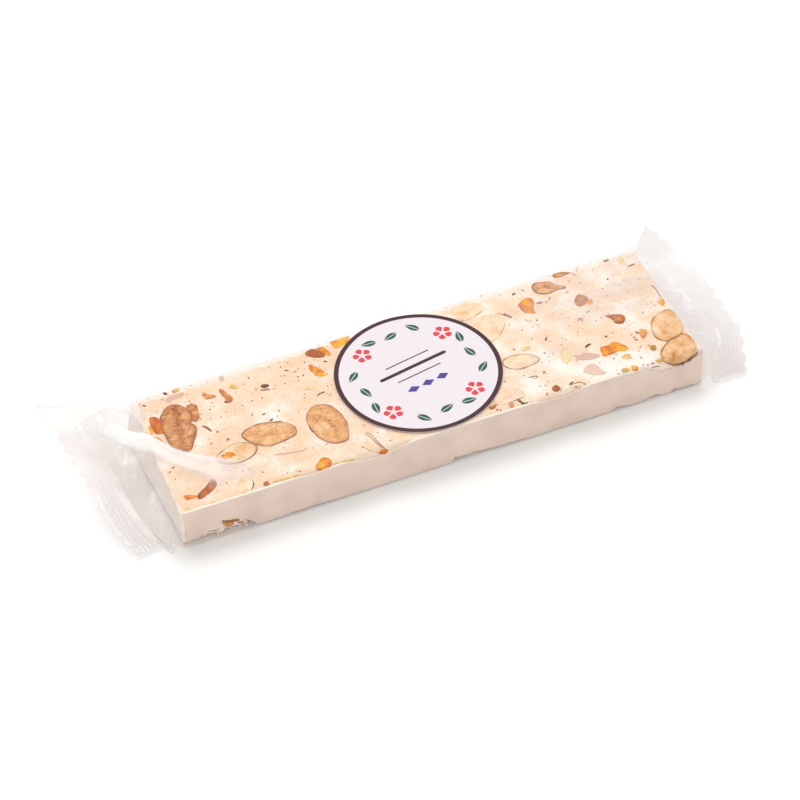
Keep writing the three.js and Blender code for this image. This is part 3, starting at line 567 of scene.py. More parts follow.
def fold_lift(x, y):
    """Height that the folds of loose film add at places on the upper sheet, and how milky they make it, which
    is partly a painted highlight.
    """
    lift = np.zeros_like(x)
    haze = np.zeros_like(x)
    for stations, sharp in FILM_FOLDS:
        crest = smooth_line(stations, np.linspace(0, 1, 50))
        sides = quarter_left(unit(np.gradient(crest[:, :2], axis=0)))
        sides *= np.sign(sides @ NEAR_WAY)[:, None]
        reach = max(crest[:, 3].max(), crest[:, 4].max())
        low = crest[:, :2].min(axis=0) - reach
        high = crest[:, :2].max(axis=0) + reach
        close = (x > low[0]) & (x < high[0]) & (y > low[1]) & (y < high[1])
        if not close.any():
            continue
        away = np.stack([x[close], y[close]], axis=-1)[:, None, :] - crest[None, :, :2]
        distance = np.linalg.norm(away, axis=-1)
        nearest = distance.argmin(axis=1)
        picked = np.arange(len(nearest))
        towards = np.sum(away[picked, nearest] * sides[nearest], axis=-1)
        width = np.where(towards > 0, crest[nearest, 3], crest[nearest, 4])
        profile = np.clip(1 - distance[picked, nearest] / width, 0, 1)
        form = profile ** 1.15 if sharp else smooth(profile)
        lift[close] = np.maximum(lift[close], crest[nearest, 2] * form)
        haze[close] = np.maximum(haze[close], crest[nearest, 5] * smooth(1.5 * profile))
    return lift, haze


def turned(x, y, place, degrees):
    """Points turned about the origin and moved to a place."""
    c, d = math.cos(math.radians(degrees)), math.sin(math.radians(degrees))
    return np.column_stack([place[0] + c * x - d * y, place[1] + d * x + c * y])


def grid_faces(rows, columns, looped=False):
    """Quads over a stack of closed rings, whose last ring joins the first one or not."""
    faces = []
    for r in range(rows if looped else rows - 1):
        rise = ((r + 1) % rows - r) * columns
        for c in range(columns):
            a = r * columns + c
            b = r * columns + (c + 1) % columns
            faces.append((a, b, b + rise, a + rise))
    return faces


def capped(rings, **marks):
    """A closed part from a stack of closed rings with a cap at each end: points, faces and attributes."""
    rings = np.array(rings)
    rows, columns = rings.shape[:2]
    faces = grid_faces(rows, columns)
    faces.append(tuple(range(columns))[::-1])
    faces.append(tuple(range((rows - 1) * columns, rows * columns)))
    return rings, faces, marks


def per_point(value, count):
    """A value for each of so many points, from one for all of them or from one for each."""
    return np.broadcast_to(np.ravel(value), count)


def joined(parts):
    """Many parts as one. Each is its points, its faces and its attributes, and an attribute holds a value
    for the whole part or for each of its points."""
    points, faces, marks = [], [], {}
    count = 0
    for part_points, part_faces, part_marks in parts:
        points.append(part_points.reshape(-1, 3))
        faces.extend(tuple(i + count for i in face) for face in part_faces)
        for key, value in part_marks.items():
            marks.setdefault(key, []).append(per_point(value, len(points[-1])))
        count += len(points[-1])
    return np.vstack(points), faces, {key: np.concatenate(values) for key, values in marks.items()}


def mesh_piece(name, points, faces, marks, material, slot, replaces=(), sharp=None):
    """A piece from points in millimetres. It rides on the bar, and shades smooth but at sharp edges, those
    of more than so many degrees."""
    mesh = bpy.data.meshes.new(name)
    mesh.from_pydata((points.reshape(-1, 3) * MM).tolist(), [], faces)
    for key, value in marks.items():
        layer = mesh.attributes.new(key, "FLOAT", "POINT")
        layer.data.foreach_set("value", per_point(value, len(mesh.vertices)).astype(np.float32))
    shell = bmesh.new()
    shell.from_mesh(mesh)
    bmesh.ops.recalc_face_normals(shell, faces=shell.faces)
    shell.to_mesh(mesh)
    shell.free()
    mesh.shade_smooth()
    if sharp is not None:
        mesh.set_sharp_from_angle(angle=math.radians(sharp))
    mesh.materials.append(material)
    mesh.update()
    piece = bpy.data.objects.new(name, mesh)
    bpy.context.scene.collection.objects.link(piece)
    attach(piece, BODY)
    if replaces:
        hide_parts(*replaces)


# ---------------------------------------------------------------- materials

def per_mm(size):
    """Scale of a texture whose features are about that many millimetres."""
    return 1 / (size * MM)


def add_node(material, kind, inputs=None, stops=None, **settings):
    """Adds a node with its settings, and fills its inputs with values or other nodes' outputs."""
    tree = material.node_tree
    node = tree.nodes.new(kind)
    for name, value in settings.items():
        setattr(node, name, value)
    if stops:
        ramp = node.color_ramp.elements
        while len(ramp) < len(stops):
            ramp.new(0.5)
        for element, (position, colour) in zip(ramp, stops):
            element.position = position
            element.color = (*colour, 1)
    for key, value in (inputs or {}).items():
        socket = node.inputs[key]
        if isinstance(value, bpy.types.NodeSocket):
            tree.links.new(value, socket)
        elif getattr(socket, "type", "") == "RGBA" and len(value) == 3:
            socket.default_value = (*value, 1)
        else:
            socket.default_value = value
    return node


def new_material(name):
    """A material with nodes, as yet empty."""
    material = bpy.data.materials.new(name)
    material.use_nodes = True
    material.node_tree.nodes.clear()
    return material


def place_output(material):
    """The place on the piece, which sits at the origin, so that patterns have their real size."""
    return add_node(material, "ShaderNodeTexCoord").outputs["Object"]


def attribute_node(m, name):
    return add_node(m, "ShaderNodeAttribute", attribute_name=name).outputs["Fac"]


def noise_node(m, place, size, detail, **inputs):
    """Noise whose features are about that many millimetres."""
    inputs = {"Vector": place, "Scale": per_mm(size), "Detail": detail, **inputs}
    return add_node(m, "ShaderNodeTexNoise", inputs).outputs["Fac"]


def math_node(m, operation, *values, clamp=False):
    inputs = dict(enumerate(values))
    return add_node(m, "ShaderNodeMath", inputs, operation=operation, use_clamp=clamp).outputs["Value"]


def range_node(m, value, low, high, to_low, to_high):
    """A value mapped from one range to another, and held inside it."""
    inputs = {"Value": value, "From Min": low, "From Max": high, "To Min": to_low, "To Max": to_high}
    return add_node(m, "ShaderNodeMapRange", inputs).outputs["Result"]


def ramp_node(m, value, *stops):
    """A colour that runs through the stops, each a position and a colour."""
    return add_node(m, "ShaderNodeValToRGB", {"Fac": value}, stops=stops).outputs["Color"]


def mix_node(m, share, first, second, **settings):
    inputs = {"Fac": share, "Color1": first, "Color2": second}
    return add_node(m, "ShaderNodeMixRGB", inputs, **settings).outputs["Color"]


def scaled(colour, by, add=0.0):
    """A colour made darker or brighter, and never past white."""
    return tuple(min(1, add + by * channel) for channel in colour)


def finish_material(material, shader):
    add_node(material, "ShaderNodeOutputMaterial", {"Surface": shader.outputs[0]})
    return material


def bumped(material, height, distance, strength=1.0):
    """The normal of a surface with that height pattern, whose full depth is distance millimetres."""
    inputs = {"Height": height, "Distance": distance * MM, "Strength": strength}
    return add_node(material, "ShaderNodeBump", inputs).outputs["Normal"]


def soft_light(weight, reach, size):
    """Light that goes a little way in: how much of it, how far for red, green and blue, and millimetres."""
    return {"Subsurface Weight": weight, "Subsurface Radius": reach, "Subsurface Scale": size * MM}


def finish_solid(m, colour, roughness, inputs):
    """The finished material of a solid thing, with the shader's other inputs."""
    inputs = {"Base Color": colour, "Roughness": roughness, **inputs}
    return finish_material(m, add_node(m, "ShaderNodeBsdfPrincipled", inputs))


def nougat_material(colours):
    """Soft almond nougat, cooked honey and egg white whipped with air, then sawn. Its top is matt and
    smooth, creamy with warmer and paler clouds, and some paler places on it are painted highlights; its sides
    and ends are whiter, its soft back edge is painted whiter as a highlight, and light goes a little way in."""
    m = new_material("almond nougat, sawn")
    place = place_output(m)
    clouds = noise_node(m, place, 8, 6.0, Roughness=0.6)
    # Paler where the paleness value is high, partly painted highlights.
    level = math_node(m, "MULTIPLY_ADD", attribute_node(m, "cream"), 0.15, clouds)
    tint = ramp_node(
        m, level, (0.35, colours.nougat_peach), (0.52, colours.nougat), (0.68, colours.nougat_pale_and_highlight)
    )
    # Whiter sides and ends; along the back edge the same colour is a painted highlight.
    face = mix_node(m, attribute_node(m, "crust"), tint, colours.nougat_sides_and_highlight)
    grains = noise_node(m, place, 1.1, 4.0)
    flecks = ramp_node(m, grains, (0.3, (0.91, 0.87, 0.83)), (0.47, (1, 1, 1)))
    colour = mix_node(m, 1.0, face, flecks, blend_type="MULTIPLY")
    smear = add_node(m, "ShaderNodeMapping", {"Vector": place, "Scale": (0.3, 1.0, 1.0)})
    saw = noise_node(m, smear.outputs["Vector"], 0.9, 5.0)
    inputs = {"Normal": bumped(m, saw, 0.06), **soft_light(0.2, (1.0, 0.7, 0.45), 1.6)}
    return finish_solid(m, colour, 0.62, inputs)


def wafer_material(colours):
    """Edible wafer paper, starch batter baked between smooth plates: matt, thin and faintly mottled, with
    tiny pits."""
    m = new_material("wafer paper, baked")
    place = place_output(m)
    tint = ramp_node(
        m, noise_node(m, place, 9, 5.0), (0.34, scaled(colours.wafer, 0.92)), (0.52, colours.wafer),
        (0.7, scaled(colours.wafer, 1.05)),
    )
    # Painted highlight, partly the paler cut: the top edge is given a brighter colour.
    edged = mix_node(m, attribute_node(m, "bright"), tint, colours.wafer_edge_and_highlight)
    pits = add_node(m, "ShaderNodeTexVoronoi", {"Vector": place, "Scale": per_mm(0.8)})
    return finish_solid(m, edged, 0.7, {"Normal": bumped(m, pits.outputs["Distance"], 0.03, 0.4)})


def kernel_material(colours):
    """Roasted almond kernel, cut lengthwise: dense and waxy, pale to golden by how far it was roasted,
    browner along its heart and in patches, with fine grain and a slight shine."""
    m = new_material("roasted almond, cut")
    place = place_output(m)
    roast, rim, heart, blush = (attribute_node(m, name) for name in ("roast", "rim", "heart", "blush"))
    uneven = range_node(m, noise_node(m, place, 3.4, 6.0, Roughness=0.68), 0.34, 0.66, -0.2, 0.18)
    veins = noise_node(m, place, 3.0, 5.0, Distortion=0.8)
    off_vein = math_node(m, "ABSOLUTE", math_node(m, "SUBTRACT", veins, 0.52))
    vein = range_node(m, off_vein, 0.0, 0.024, 0.5, 0.0)
    browned = range_node(m, rim, 0.76, 1.0, 0.48, 0.68)
    core = math_node(m, "MULTIPLY_ADD", heart, 0.25, browned)
    lines = math_node(m, "ADD", core, vein)
    level = math_node(m, "MULTIPLY_ADD", lines, roast, uneven, clamp=True)
    tint = ramp_node(m, level, (0.0, colours.kernel_pale), (0.3, colours.kernel), (0.8, colours.kernel_roast))
    rosy = mix_node(m, blush, tint, colours.kernel_blush)
    normal = bumped(m, noise_node(m, place, 0.8, 4.0), 0.18)
    inputs = {"Specular IOR Level": 0.15, "Normal": normal, **soft_light(0.12, (1.0, 0.6, 0.3), 1.0)}
    return finish_solid(m, rosy, 0.42, inputs)


def toned_material(name, stops, patch, roughness, subsurface):
    """A material whose colour runs through the stops by each point's tone and by patches of that size."""
    m = new_material(name)
    patches = noise_node(m, place_output(m), patch, 4.0)
    uneven = range_node(m, patches, 0.32, 0.68, -0.3, 0.3)
    level = math_node(m, "ADD", attribute_node(m, "tone"), uneven, clamp=True)
    inputs = {"Specular IOR Level": 0.15, "Normal": bumped(m, patches, 0.12)}
    inputs.update(soft_light(subsurface, (1.0, 0.45, 0.15), 1.2))
    return finish_solid(m, ramp_node(m, level, *stops), roughness, inputs)


def skin_material(colours):
    """Almond skin, dry and papery: brown, a little uneven in tone, matt."""
    stops = [(0.0, scaled(colours.skin, 0.35)), (0.4, colours.skin), (1.0, scaled(colours.skin, 1.3, 0.25))]
    return toned_material("almond skin, dry", stops, 1.8, 0.6, 0.0)


def candied_material(name, deep, colour, bright):
    """Candied fruit, soaked in syrup and dried: moist, partly clear, so its colour deepens in patches and
    its surface shines."""
    return toned_material(name, [(0.0, deep), (0.45, colour), (0.9, bright)], 2.4, 0.3, 0.15)


def film_material(colours):
    """Clear cast polypropylene film, about 30 micrometres thick. It lets nearly all light through, mirrors
    more at a slant, and turns milky where it is folded or crimped, from the haze and painted light value of
    each point. That milk is partly painted light: grey where the value is low, a painted shade, and white
    where it is high, a painted highlight."""
    m = new_material("polypropylene film, clear")
    haze = attribute_node(m, "haze")
    normal = bumped(m, noise_node(m, place_output(m), 5, 3.0), 0.12, 0.6)
    slant = add_node(m, "ShaderNodeLayerWeight", {"Blend": 0.5, "Normal": normal}).outputs["Facing"]
    mirror = range_node(m, math_node(m, "POWER", slant, 4.0), 0.0, 1.0, 0.03, 0.75)
    # Painted light: the milk is grey where the value is low, a painted shade, and white where it is high, a
    # painted highlight.
    white = ramp_node(m, haze, (0.28, (0.8, 0.77, 0.78)), (0.5, (0.99, 0.98, 0.96)))
    clear = add_node(m, "ShaderNodeBsdfTransparent", {"Color": colours.film})
    milk_and_painted_light = add_node(m, "ShaderNodeBsdfDiffuse", {"Color": white, "Roughness": 0.5, "Normal": normal})
    gloss = {"Color": (1, 1, 1), "Roughness": 0.27, "Normal": normal}
    gloss = add_node(m, "ShaderNodeBsdfAnisotropic", gloss)
    body = add_node(m, "ShaderNodeMixShader", {0: haze, 1: clear.outputs[0], 2: milk_and_painted_light.outputs[0]})
    shader = add_node(m, "ShaderNodeMixShader", {0: mirror, 1: body.outputs[0], 2: gloss.outputs[0]})
    return finish_material(m, shader)


def paper_material(colours):
    """Coated label paper: smooth, near white with a lilac cast, and satin, with a faint unevenness."""
    m = new_material("label paper, coated")
    fibres = noise_node(m, place_output(m), 1.2, 5.0)
    tint = ramp_node(m, fibres, (0.3, scaled(colours.paper, 0.975)), (0.7, colours.paper))
    return finish_solid(m, tint, 0.45, {"Normal": bumped(m, fibres, 0.02)})


def ink_material(name, colour):
    """Printing ink on coated paper: a thin even layer, satin, with a trace of mottle."""
    m = new_material(name)
    mottle = noise_node(m, place_output(m), 0.8, 3.0)
    tint = ramp_node(m, mottle, (0.35, scaled(colour, 0.93)), (0.7, scaled(colour, 1.08)))
    return finish_solid(m, tint, 0.4, {"Specular IOR Level": 0.2})


def floor_material(colours):
    """Seamless studio paper: plain, pale and matt."""
    m = new_material("studio paper, matt")
    normal = bumped(m, noise_node(m, place_output(m), 2, 3.0), 0.02)
    return finish_solid(m, colours.floor, 0.95, {"Specular IOR Level": 0.1, "Normal": normal})


# ---------------------------------------------------------------- film

STEPS_PER_HALF_TOOTH = 4
SIDE_SHARE = 12    # columns on each side of a sheet
CORNER_SHARE = 8   # columns round each of its edges
BAR_RINGS = 206    # rings along the bar, along each loose end and along each seal
TENT_RINGS = 32
BAND_RINGS = 36
BAND_HALF = 0.09   # half the distance between the two films of a seal
RIB_COUNT = 4
RIB_HEIGHT = 0.16
RIB_STRENGTH = {-1: (0.05, 0.95), 1: (0.12, 0.0)}  # of the ribs at the back, and more towards the front
BAND_HAZE = {-1: (0.04, 0.1), 1: (0.16, 0.0)}      # of the band between the ribs, in the same way
RIB_HAZE = 0.3
TOOTH_SHARES = (0.6, 1.3)  # least and greatest depth of a tooth against its usual depth
BAND_RIPPLE = 0.45
TENT_SAG = 0.8     # how far the loose upper sheet hangs in its middle
TENT_CREASES = (0.55, 0.3)  # height of the soft creases in the upper and the lower loose sheet
FRONT_FOLD = {-1: 3.0, 1: 0.3}  # how far the loose sheets spread at the front and the back, by side
BACK_FOLD = {-1: 1.8, 1: 0.4}
FINE_WRINKLE = 0.04
CRUMPLE = 1.3      # height of the creases in the loose ends
ALMOND_RISE = 0.12
LOOSE_HAZE_AND_SHADE = 0.2   # how milky the loose ends are, partly painted shade that greys them; a painted highlight along the back edge; how milky the cut sides are; and the most there is
BACK_HIGHLIGHT = 0.3
CUT_HAZE = 0.4
MOST_HAZE = 0.75


def sheet_outline(s, across, fold, face, back, front_radius):
    """Points (y, z) of one sheet over a cross-section, from the back fold over the face to the front. The
    back edge is soft, with a reach across and a drop."""
    half = s.width / 2
    reach, drop = back
    rise = 1 if face > fold else -1
    turn = np.linspace(0, math.pi / 2, CORNER_SHARE + 1)
    side = np.linspace(0, 1, SIDE_SHARE, endpoint=False)
    top = np.linspace(0, 1, across - 2 * (SIDE_SHARE + CORNER_SHARE) + 1)[1:-1]
    y = np.concatenate([
        np.full(SIDE_SHARE, half),
        half - reach * (1 - np.cos(turn)),
        half - reach + top * (front_radius + reach - 2 * half),
        -half + front_radius * (1 - np.cos(turn[::-1])),
        np.full(SIDE_SHARE, -half),
    ])
    back_z = face - rise * drop
    front_z = face - rise * front_radius
    z = np.concatenate([
        fold + side * (back_z - fold),
        face - rise * drop * (1 - np.sin(turn)),
        np.full(len(top), face),
        face - rise * front_radius * (1 - np.sin(turn[::-1])),
        (fold + side * (front_z - fold))[::-1],
    ])
    return y, z


def seal_band(s, side, stations, across):
    """Points on the cut and on the inner edge of a seal, and the upward normal, for each column."""
    u = np.linspace(0, 1, across + 1)
    cut = smooth_line([place for place, _ in stations], u)
    inner_stations = [np.array(place) + s.seal * unit(np.array(way)) for place, way in stations]
    inner = smooth_line(inner_stations, u)
    normal = unit(np.cross(np.gradient(cut, axis=0), unit(inner - cut))) * -side
    ripple = BAND_RIPPLE * np.sin(FULL_TURN * 2.15 * u + side) * np.sin(math.pi * u)
    return cut + ripple[:, None] * normal, inner + 0.6 * ripple[:, None] * normal, normal


def seal_rings(s, side, stations, across):
    """Upper and lower rings of a seal from its inner edge to the zigzag cut, with their haze."""
    cut, inner, normal = seal_band(s, side, stations, across)
    u = np.linspace(0, 1, across + 1)
    columns = np.arange(across + 1)
    draw = random.Random(s.seed + side)
    depth = np.array([s.tooth * draw.uniform(*TOOTH_SHARES) for _ in range(s.teeth + 1)])
    notch = 1 - np.abs(columns / STEPS_PER_HALF_TOOTH % 2 - 1)
    zigzag = s.seal - depth[columns // (2 * STEPS_PER_HALF_TOOTH)] * notch
    first_rib = s.seal - s.tooth - RIB_COUNT * s.rib_pitch
    (weak, stronger), (thin, thicker) = RIB_STRENGTH[side], BAND_HAZE[side]
    strength = weak + stronger * smooth((u - 0.45) / 0.25)
    base = thin + thicker * smooth((u - 0.35) / 0.3)
    upper, lower, haze = [], [], []
    for step in range(BAND_RINGS + 1):
        distance = zigzag * step / BAND_RINGS
        wave = np.cos(FULL_TURN * (distance - first_rib) / s.rib_pitch)
        window = smooth((distance - first_rib + 0.7) / 0.7) * smooth((s.seal - s.tooth - distance) / 0.5)
        offset = RIB_HEIGHT * wave * window * strength
        centre = inner + (cut - inner) * (distance / s.seal)[:, None]
        upper.append(centre + normal * (offset + BAND_HALF)[:, None])
        lower.append(centre + normal * (offset - BAND_HALF)[:, None])
        haze.append(base + RIB_HAZE * window * strength * smooth(wave))
    return np.array(upper), np.array(lower), np.array(haze)


def tent_rings(s, side, end_upper, end_lower, in_upper, in_lower, across):
    """Rings of the loose film between the bar's end and the seal. Near the front both sheets are tucked
    down to the table in a fold, and near the back they flare out a little."""
    u = np.linspace(0, 1, across + 1)
    inside = np.minimum(1, np.minimum(4 * u, 4 * (1 - u)))
    upper, lower = [], []
    for step in range(1, TENT_RINGS):
        t = step / TENT_RINGS
        slack = math.sin(math.pi * t)
        crease = slack * np.sin(math.pi * u) * np.sin(FULL_TURN * 3.2 * u + 2 * side)
        middle = (end_upper + in_upper) / 2
        middle[:, 2] -= TENT_SAG * inside
        up = (1 - t) ** 2 * end_upper + 2 * t * (1 - t) * middle + t * t * in_upper
        up[:, 2] += TENT_CREASES[0] * crease
        share = (0.5 + 0.35 * inside)[:, None]
        middle = end_lower + (in_lower - end_lower) * share
        middle[:, 2] += (0.1 * in_lower[:, 2] - middle[:, 2]) * inside
        low = (1 - t) ** 2 * end_lower + 2 * t * (1 - t) * middle + t * t * in_lower
        low[:, 2] += TENT_CREASES[1] * inside * crease
        tuck = bump(u - 1, 0.2) * math.sin(math.pi * t ** 2.5)
        shift = BACK_FOLD[side] * bump(u, 0.3) * slack - FRONT_FOLD[side] * tuck
        up[:, 1] += shift
        low[:, 1] += shift
        up[:, 2] += (np.maximum(0.35 * up[:, 2], 2 * FOLD_HALF) - up[:, 2]) * tuck
        low[:, 2] *= 1 - tuck
        upper.append(up)
        lower.append(low)
    return np.array(upper), np.array(lower)


def bar_rings(s, across):
    """Rings of the film round the bar."""
    middle = s.height / 2
    upper, lower = [], []
    for share in np.linspace(0, 1, BAR_RINGS + 1):
        radius = EDGE_ROUND + crush(front_x(s, share))
        for rings, fold, face, back, front in (
            (upper, middle + FOLD_HALF, s.height, BACK_SLOPE, radius),
            (lower, middle - FOLD_HALF, 0.0, (FOOT_ROUND, FOOT_ROUND), FOOT_ROUND),
        ):
            y, z = sheet_outline(s, across, fold, face, back, front)
            x = end_x(s, -1, y) + (end_x(s, 1, y) - end_x(s, -1, y)) * share
            rings.append(np.column_stack([x, y, z]))
    return np.array(upper), np.array(lower)


def crumple(points, size, seed):
    """A faceted unevenness of about 0 to 1 with sharp creases between the facets."""
    return np.abs(noise_at(points, size, seed)) + 0.5 * np.abs(noise_at(points, size / 2.1, seed + 1))


def film_mesh(s):
    """Points, faces and milky values, partly painted light, of the whole wrap, one closed sheet."""
    across = 2 * s.teeth * STEPS_PER_HALF_TOOTH
    bar_upper, bar_lower = bar_rings(s, across)
    ends = {}
    for side, stations, end in ((-1, LEFT_SEAL, 0), (1, RIGHT_SEAL, -1)):
        band_upper, band_lower, band_haze = seal_rings(s, side, stations, across)
        tent_upper, tent_lower = tent_rings(
            s, side, bar_upper[end], bar_lower[end], band_upper[0], band_lower[0], across
        )
        ends[side] = (
            np.concatenate([tent_upper, band_upper]), np.concatenate([tent_lower, band_lower]), band_haze
        )
    upper = np.concatenate([ends[-1][0][::-1], bar_upper, ends[1][0]])
    lower = np.concatenate([ends[-1][1][::-1], bar_lower, ends[1][1]])

    # How much each ring belongs to the loose ends rather than to the bar or the stiff bands.
    loose = np.zeros(len(upper))
    arc = np.sin(math.pi * np.arange(1, TENT_RINGS) / TENT_RINGS)
    loose[BAND_RINGS + 1:BAND_RINGS + TENT_RINGS] = arc
    loose[-BAND_RINGS - TENT_RINGS:-BAND_RINGS - 1] = arc
    loose = loose[:, None]
    off_band = np.ones(len(upper))
    off_band[:BAND_RINGS + 1] = np.linspace(-1.5, 1, BAND_RINGS + 1).clip(0, 1)
    off_band[-BAND_RINGS - 1:] = np.linspace(1, -1.5, BAND_RINGS + 1).clip(0, 1)
    off_band = off_band[:, None]

    x, y, z = upper[..., 0], upper[..., 1], upper[..., 2]
    free = label_free(s, x, y)
    columns = np.arange(across + 1)
    from_side = np.minimum(columns, across - columns)
    inner = smooth((from_side - SIDE_SHARE) / CORNER_SHARE)[None, :]
    # The folds' milky values are partly a painted highlight.
    lift, milk_and_painted_light = fold_lift(x, y)
    wrinkle = noise_at(upper * (0.35, 1, 1), 5.5, s.seed)
    crumpled = crumple(upper, 9, s.seed + 5)
    over_bar = (z > s.height - 0.4) * inner
    z += over_bar * top_relief(s, x, y)
    z += free * inner * off_band * lift
    z += free * inner * FINE_WRINKLE * wrinkle * off_band
    z += loose * inner * CRUMPLE * (crumpled - 0.5)
    for *_, text in ALMONDS:
        outline = trace(text)
        centre = outline.mean(axis=0)
        reach = 0.55 * np.ptp(outline, axis=0).max()
        z += over_bar * free * ALMOND_RISE * bump(np.hypot(x - centre[0], y - centre[1]), reach)

    band_haze = np.zeros(upper.shape[:2])
    band_haze[:BAND_RINGS + 1] = ends[-1][2][::-1]
    band_haze[-BAND_RINGS - 1:] = ends[1][2]
    # Painted shade: the loose ends are greyed with milk, less towards the back on the left.
    loose_haze_and_shade = LOOSE_HAZE_AND_SHADE * (0.5 + crumple(upper, 12, s.seed + 6))
    loose_haze_and_shade *= np.where(x < 0, 0.35 + 0.85 * smooth((14 - y) / 8), 1)
    cut_sides = smooth(1 - from_side / 2)[None, :] * (np.abs(x) > s.length / 2 + 3)
    haze = band_haze + free * off_band * inner * milk_and_painted_light + loose * loose_haze_and_shade + CUT_HAZE * cut_sides
    # Painted highlight: the film along the soft back edge is milked white.
    haze += BACK_HIGHLIGHT * smooth((y - s.width / 2 + 3.2) / 1.4) * inner * off_band
    low_haze = band_haze + 0.5 * LOOSE_HAZE_AND_SHADE * loose

    np.maximum(z, LOWEST_FILM + 0.05, out=z)
    lower[..., 2] = np.maximum(lower[..., 2], LOWEST_FILM)
    points = np.concatenate([upper, lower[:, ::-1]], axis=1)
    haze_values_and_painted_light = np.concatenate([haze, low_haze[:, ::-1]], axis=1) + 0.005
    rings, per_ring = points.shape[:2]
    faces = grid_faces(rings, per_ring)
    last = (rings - 1) * per_ring
    for k in range(across):
        under = per_ring - 1 - k
        faces.append((k, under, under - 1, k + 1))
        faces.append((last + k, last + k + 1, last + under - 1, last + under))
    return points, faces, {"haze": np.clip(haze_values_and_painted_light, 0, MOST_HAZE)}


# ---------------------------------------------------------------- nougat and wafer

TOP_POINTS = 72  # points over the top, a side, an edge and the torn front
SIDE_POINTS = 14
CORNER_POINTS = 10
CHAMFER_POINTS = 18
BLOCK_RINGS = 260
CAP_RINGS = 12
CAP_INNER = 0.015  # how large the innermost ring of an end is, against its rim
UNDER_GAP = 0.3
UNDER_ROUND = 0.6  # radius of the lower back edge
SAWN_BACK = (3.2, 1.2)  # reach and drop of the nougat's own soft back edge
END_LEAN = 2.8
END_ROUND = 0.7  # drop of the top along the two ends
TEAR_MARGIN = 0.3  # how far behind the wafer the torn part goes on
LUMP_SIZE = 3.2  # sizes of the block's coarse and fine unevenness
GRIT_SIZE = 1.1
END_ROUGHNESS = 0.2
TORN_ROUGHNESS = 0.3
CRUST_DEPTH = 5  # how far below the top the whiter sides start
LEFT_CREAM = -0.25  # how pale the left part of the top is, and how much paler the right part
RIGHT_PALER = 0.3
PLACE_STRENGTH = 1.2
WAFER_COLUMNS = 420
WAFER_ROWS = 12


def torn_height(x, seed):
    """Height of the front wafer's lower edge, with a fine ragged outline."""
    base = torn_line(x)
    return np.maximum(base + (0.08 + 0.07 * base) * noise_along(x, 0.9, seed), 0.25)


def recess(tear, z):
    """How far the torn nougat lies behind the side at heights below the wafer's edge."""
    level = np.clip((z - UNDER_GAP) / (tear + TEAR_MARGIN), 0, 1)
    deepest = 0.5 + 1.1 * smooth(tear / 4)
    return (0.4 + (deepest - 0.4) * (1 - level) ** 1.4) * smooth((1 - level) / 0.08)


def block_section(s, front_radius, tear):
    """Points (y, z) round the nougat at one place along it, from the front bottom corner by the underside,
    the back and the top to the front."""
    half = s.nougat_half
    low, high = UNDER_GAP, s.height - s.gap
    torn = low + tear + TEAR_MARGIN
    reach, drop = SAWN_BACK
    turn = np.linspace(0, math.pi / 2, CORNER_POINTS)
    flat = np.linspace(0, 1, TOP_POINTS + 2)[1:-1]
    short = np.linspace(0, 1, SIDE_POINTS + 2)[1:-1]
    chamfer = low + (torn - low) * np.linspace(1, 0, CHAMFER_POINTS) ** 1.3
    inward = recess(tear, chamfer)
    y0, y1 = -half + inward[-1], half - UNDER_ROUND
    y = [
        -half + inward,
        y0 + (y1 - y0) * flat,
        y1 + UNDER_ROUND * np.sin(turn),
        np.full(SIDE_POINTS, half),
        half - reach * (1 - np.cos(turn)),
        half - reach + (front_radius + reach - 2 * half) * flat,
        -half + front_radius * (1 - np.sin(turn)),
        np.full(SIDE_POINTS, -half),
    ]
    z = [
        chamfer,
        np.full(TOP_POINTS, low),
        low + UNDER_ROUND * (1 - np.cos(turn)),
        low + UNDER_ROUND + (high - drop - low - UNDER_ROUND) * short,
        high - drop * (1 - np.sin(turn)),
        np.full(TOP_POINTS, high),
        high - front_radius * (1 - np.cos(turn)),
        high - front_radius + (torn - high + front_radius) * short,
    ]
    return np.concatenate(y), np.concatenate(z)


def block_end(s, side, y, z):
    """X of the nougat's end face at places on it. The left one leans out towards its foot and the back."""
    x = end_x(s, side, y) - side * (s.gap + 0.1)
    if side < 0:
        x = x - END_LEAN * (1 - z / s.height) * smooth((y + s.width / 2) / s.width)
    return x


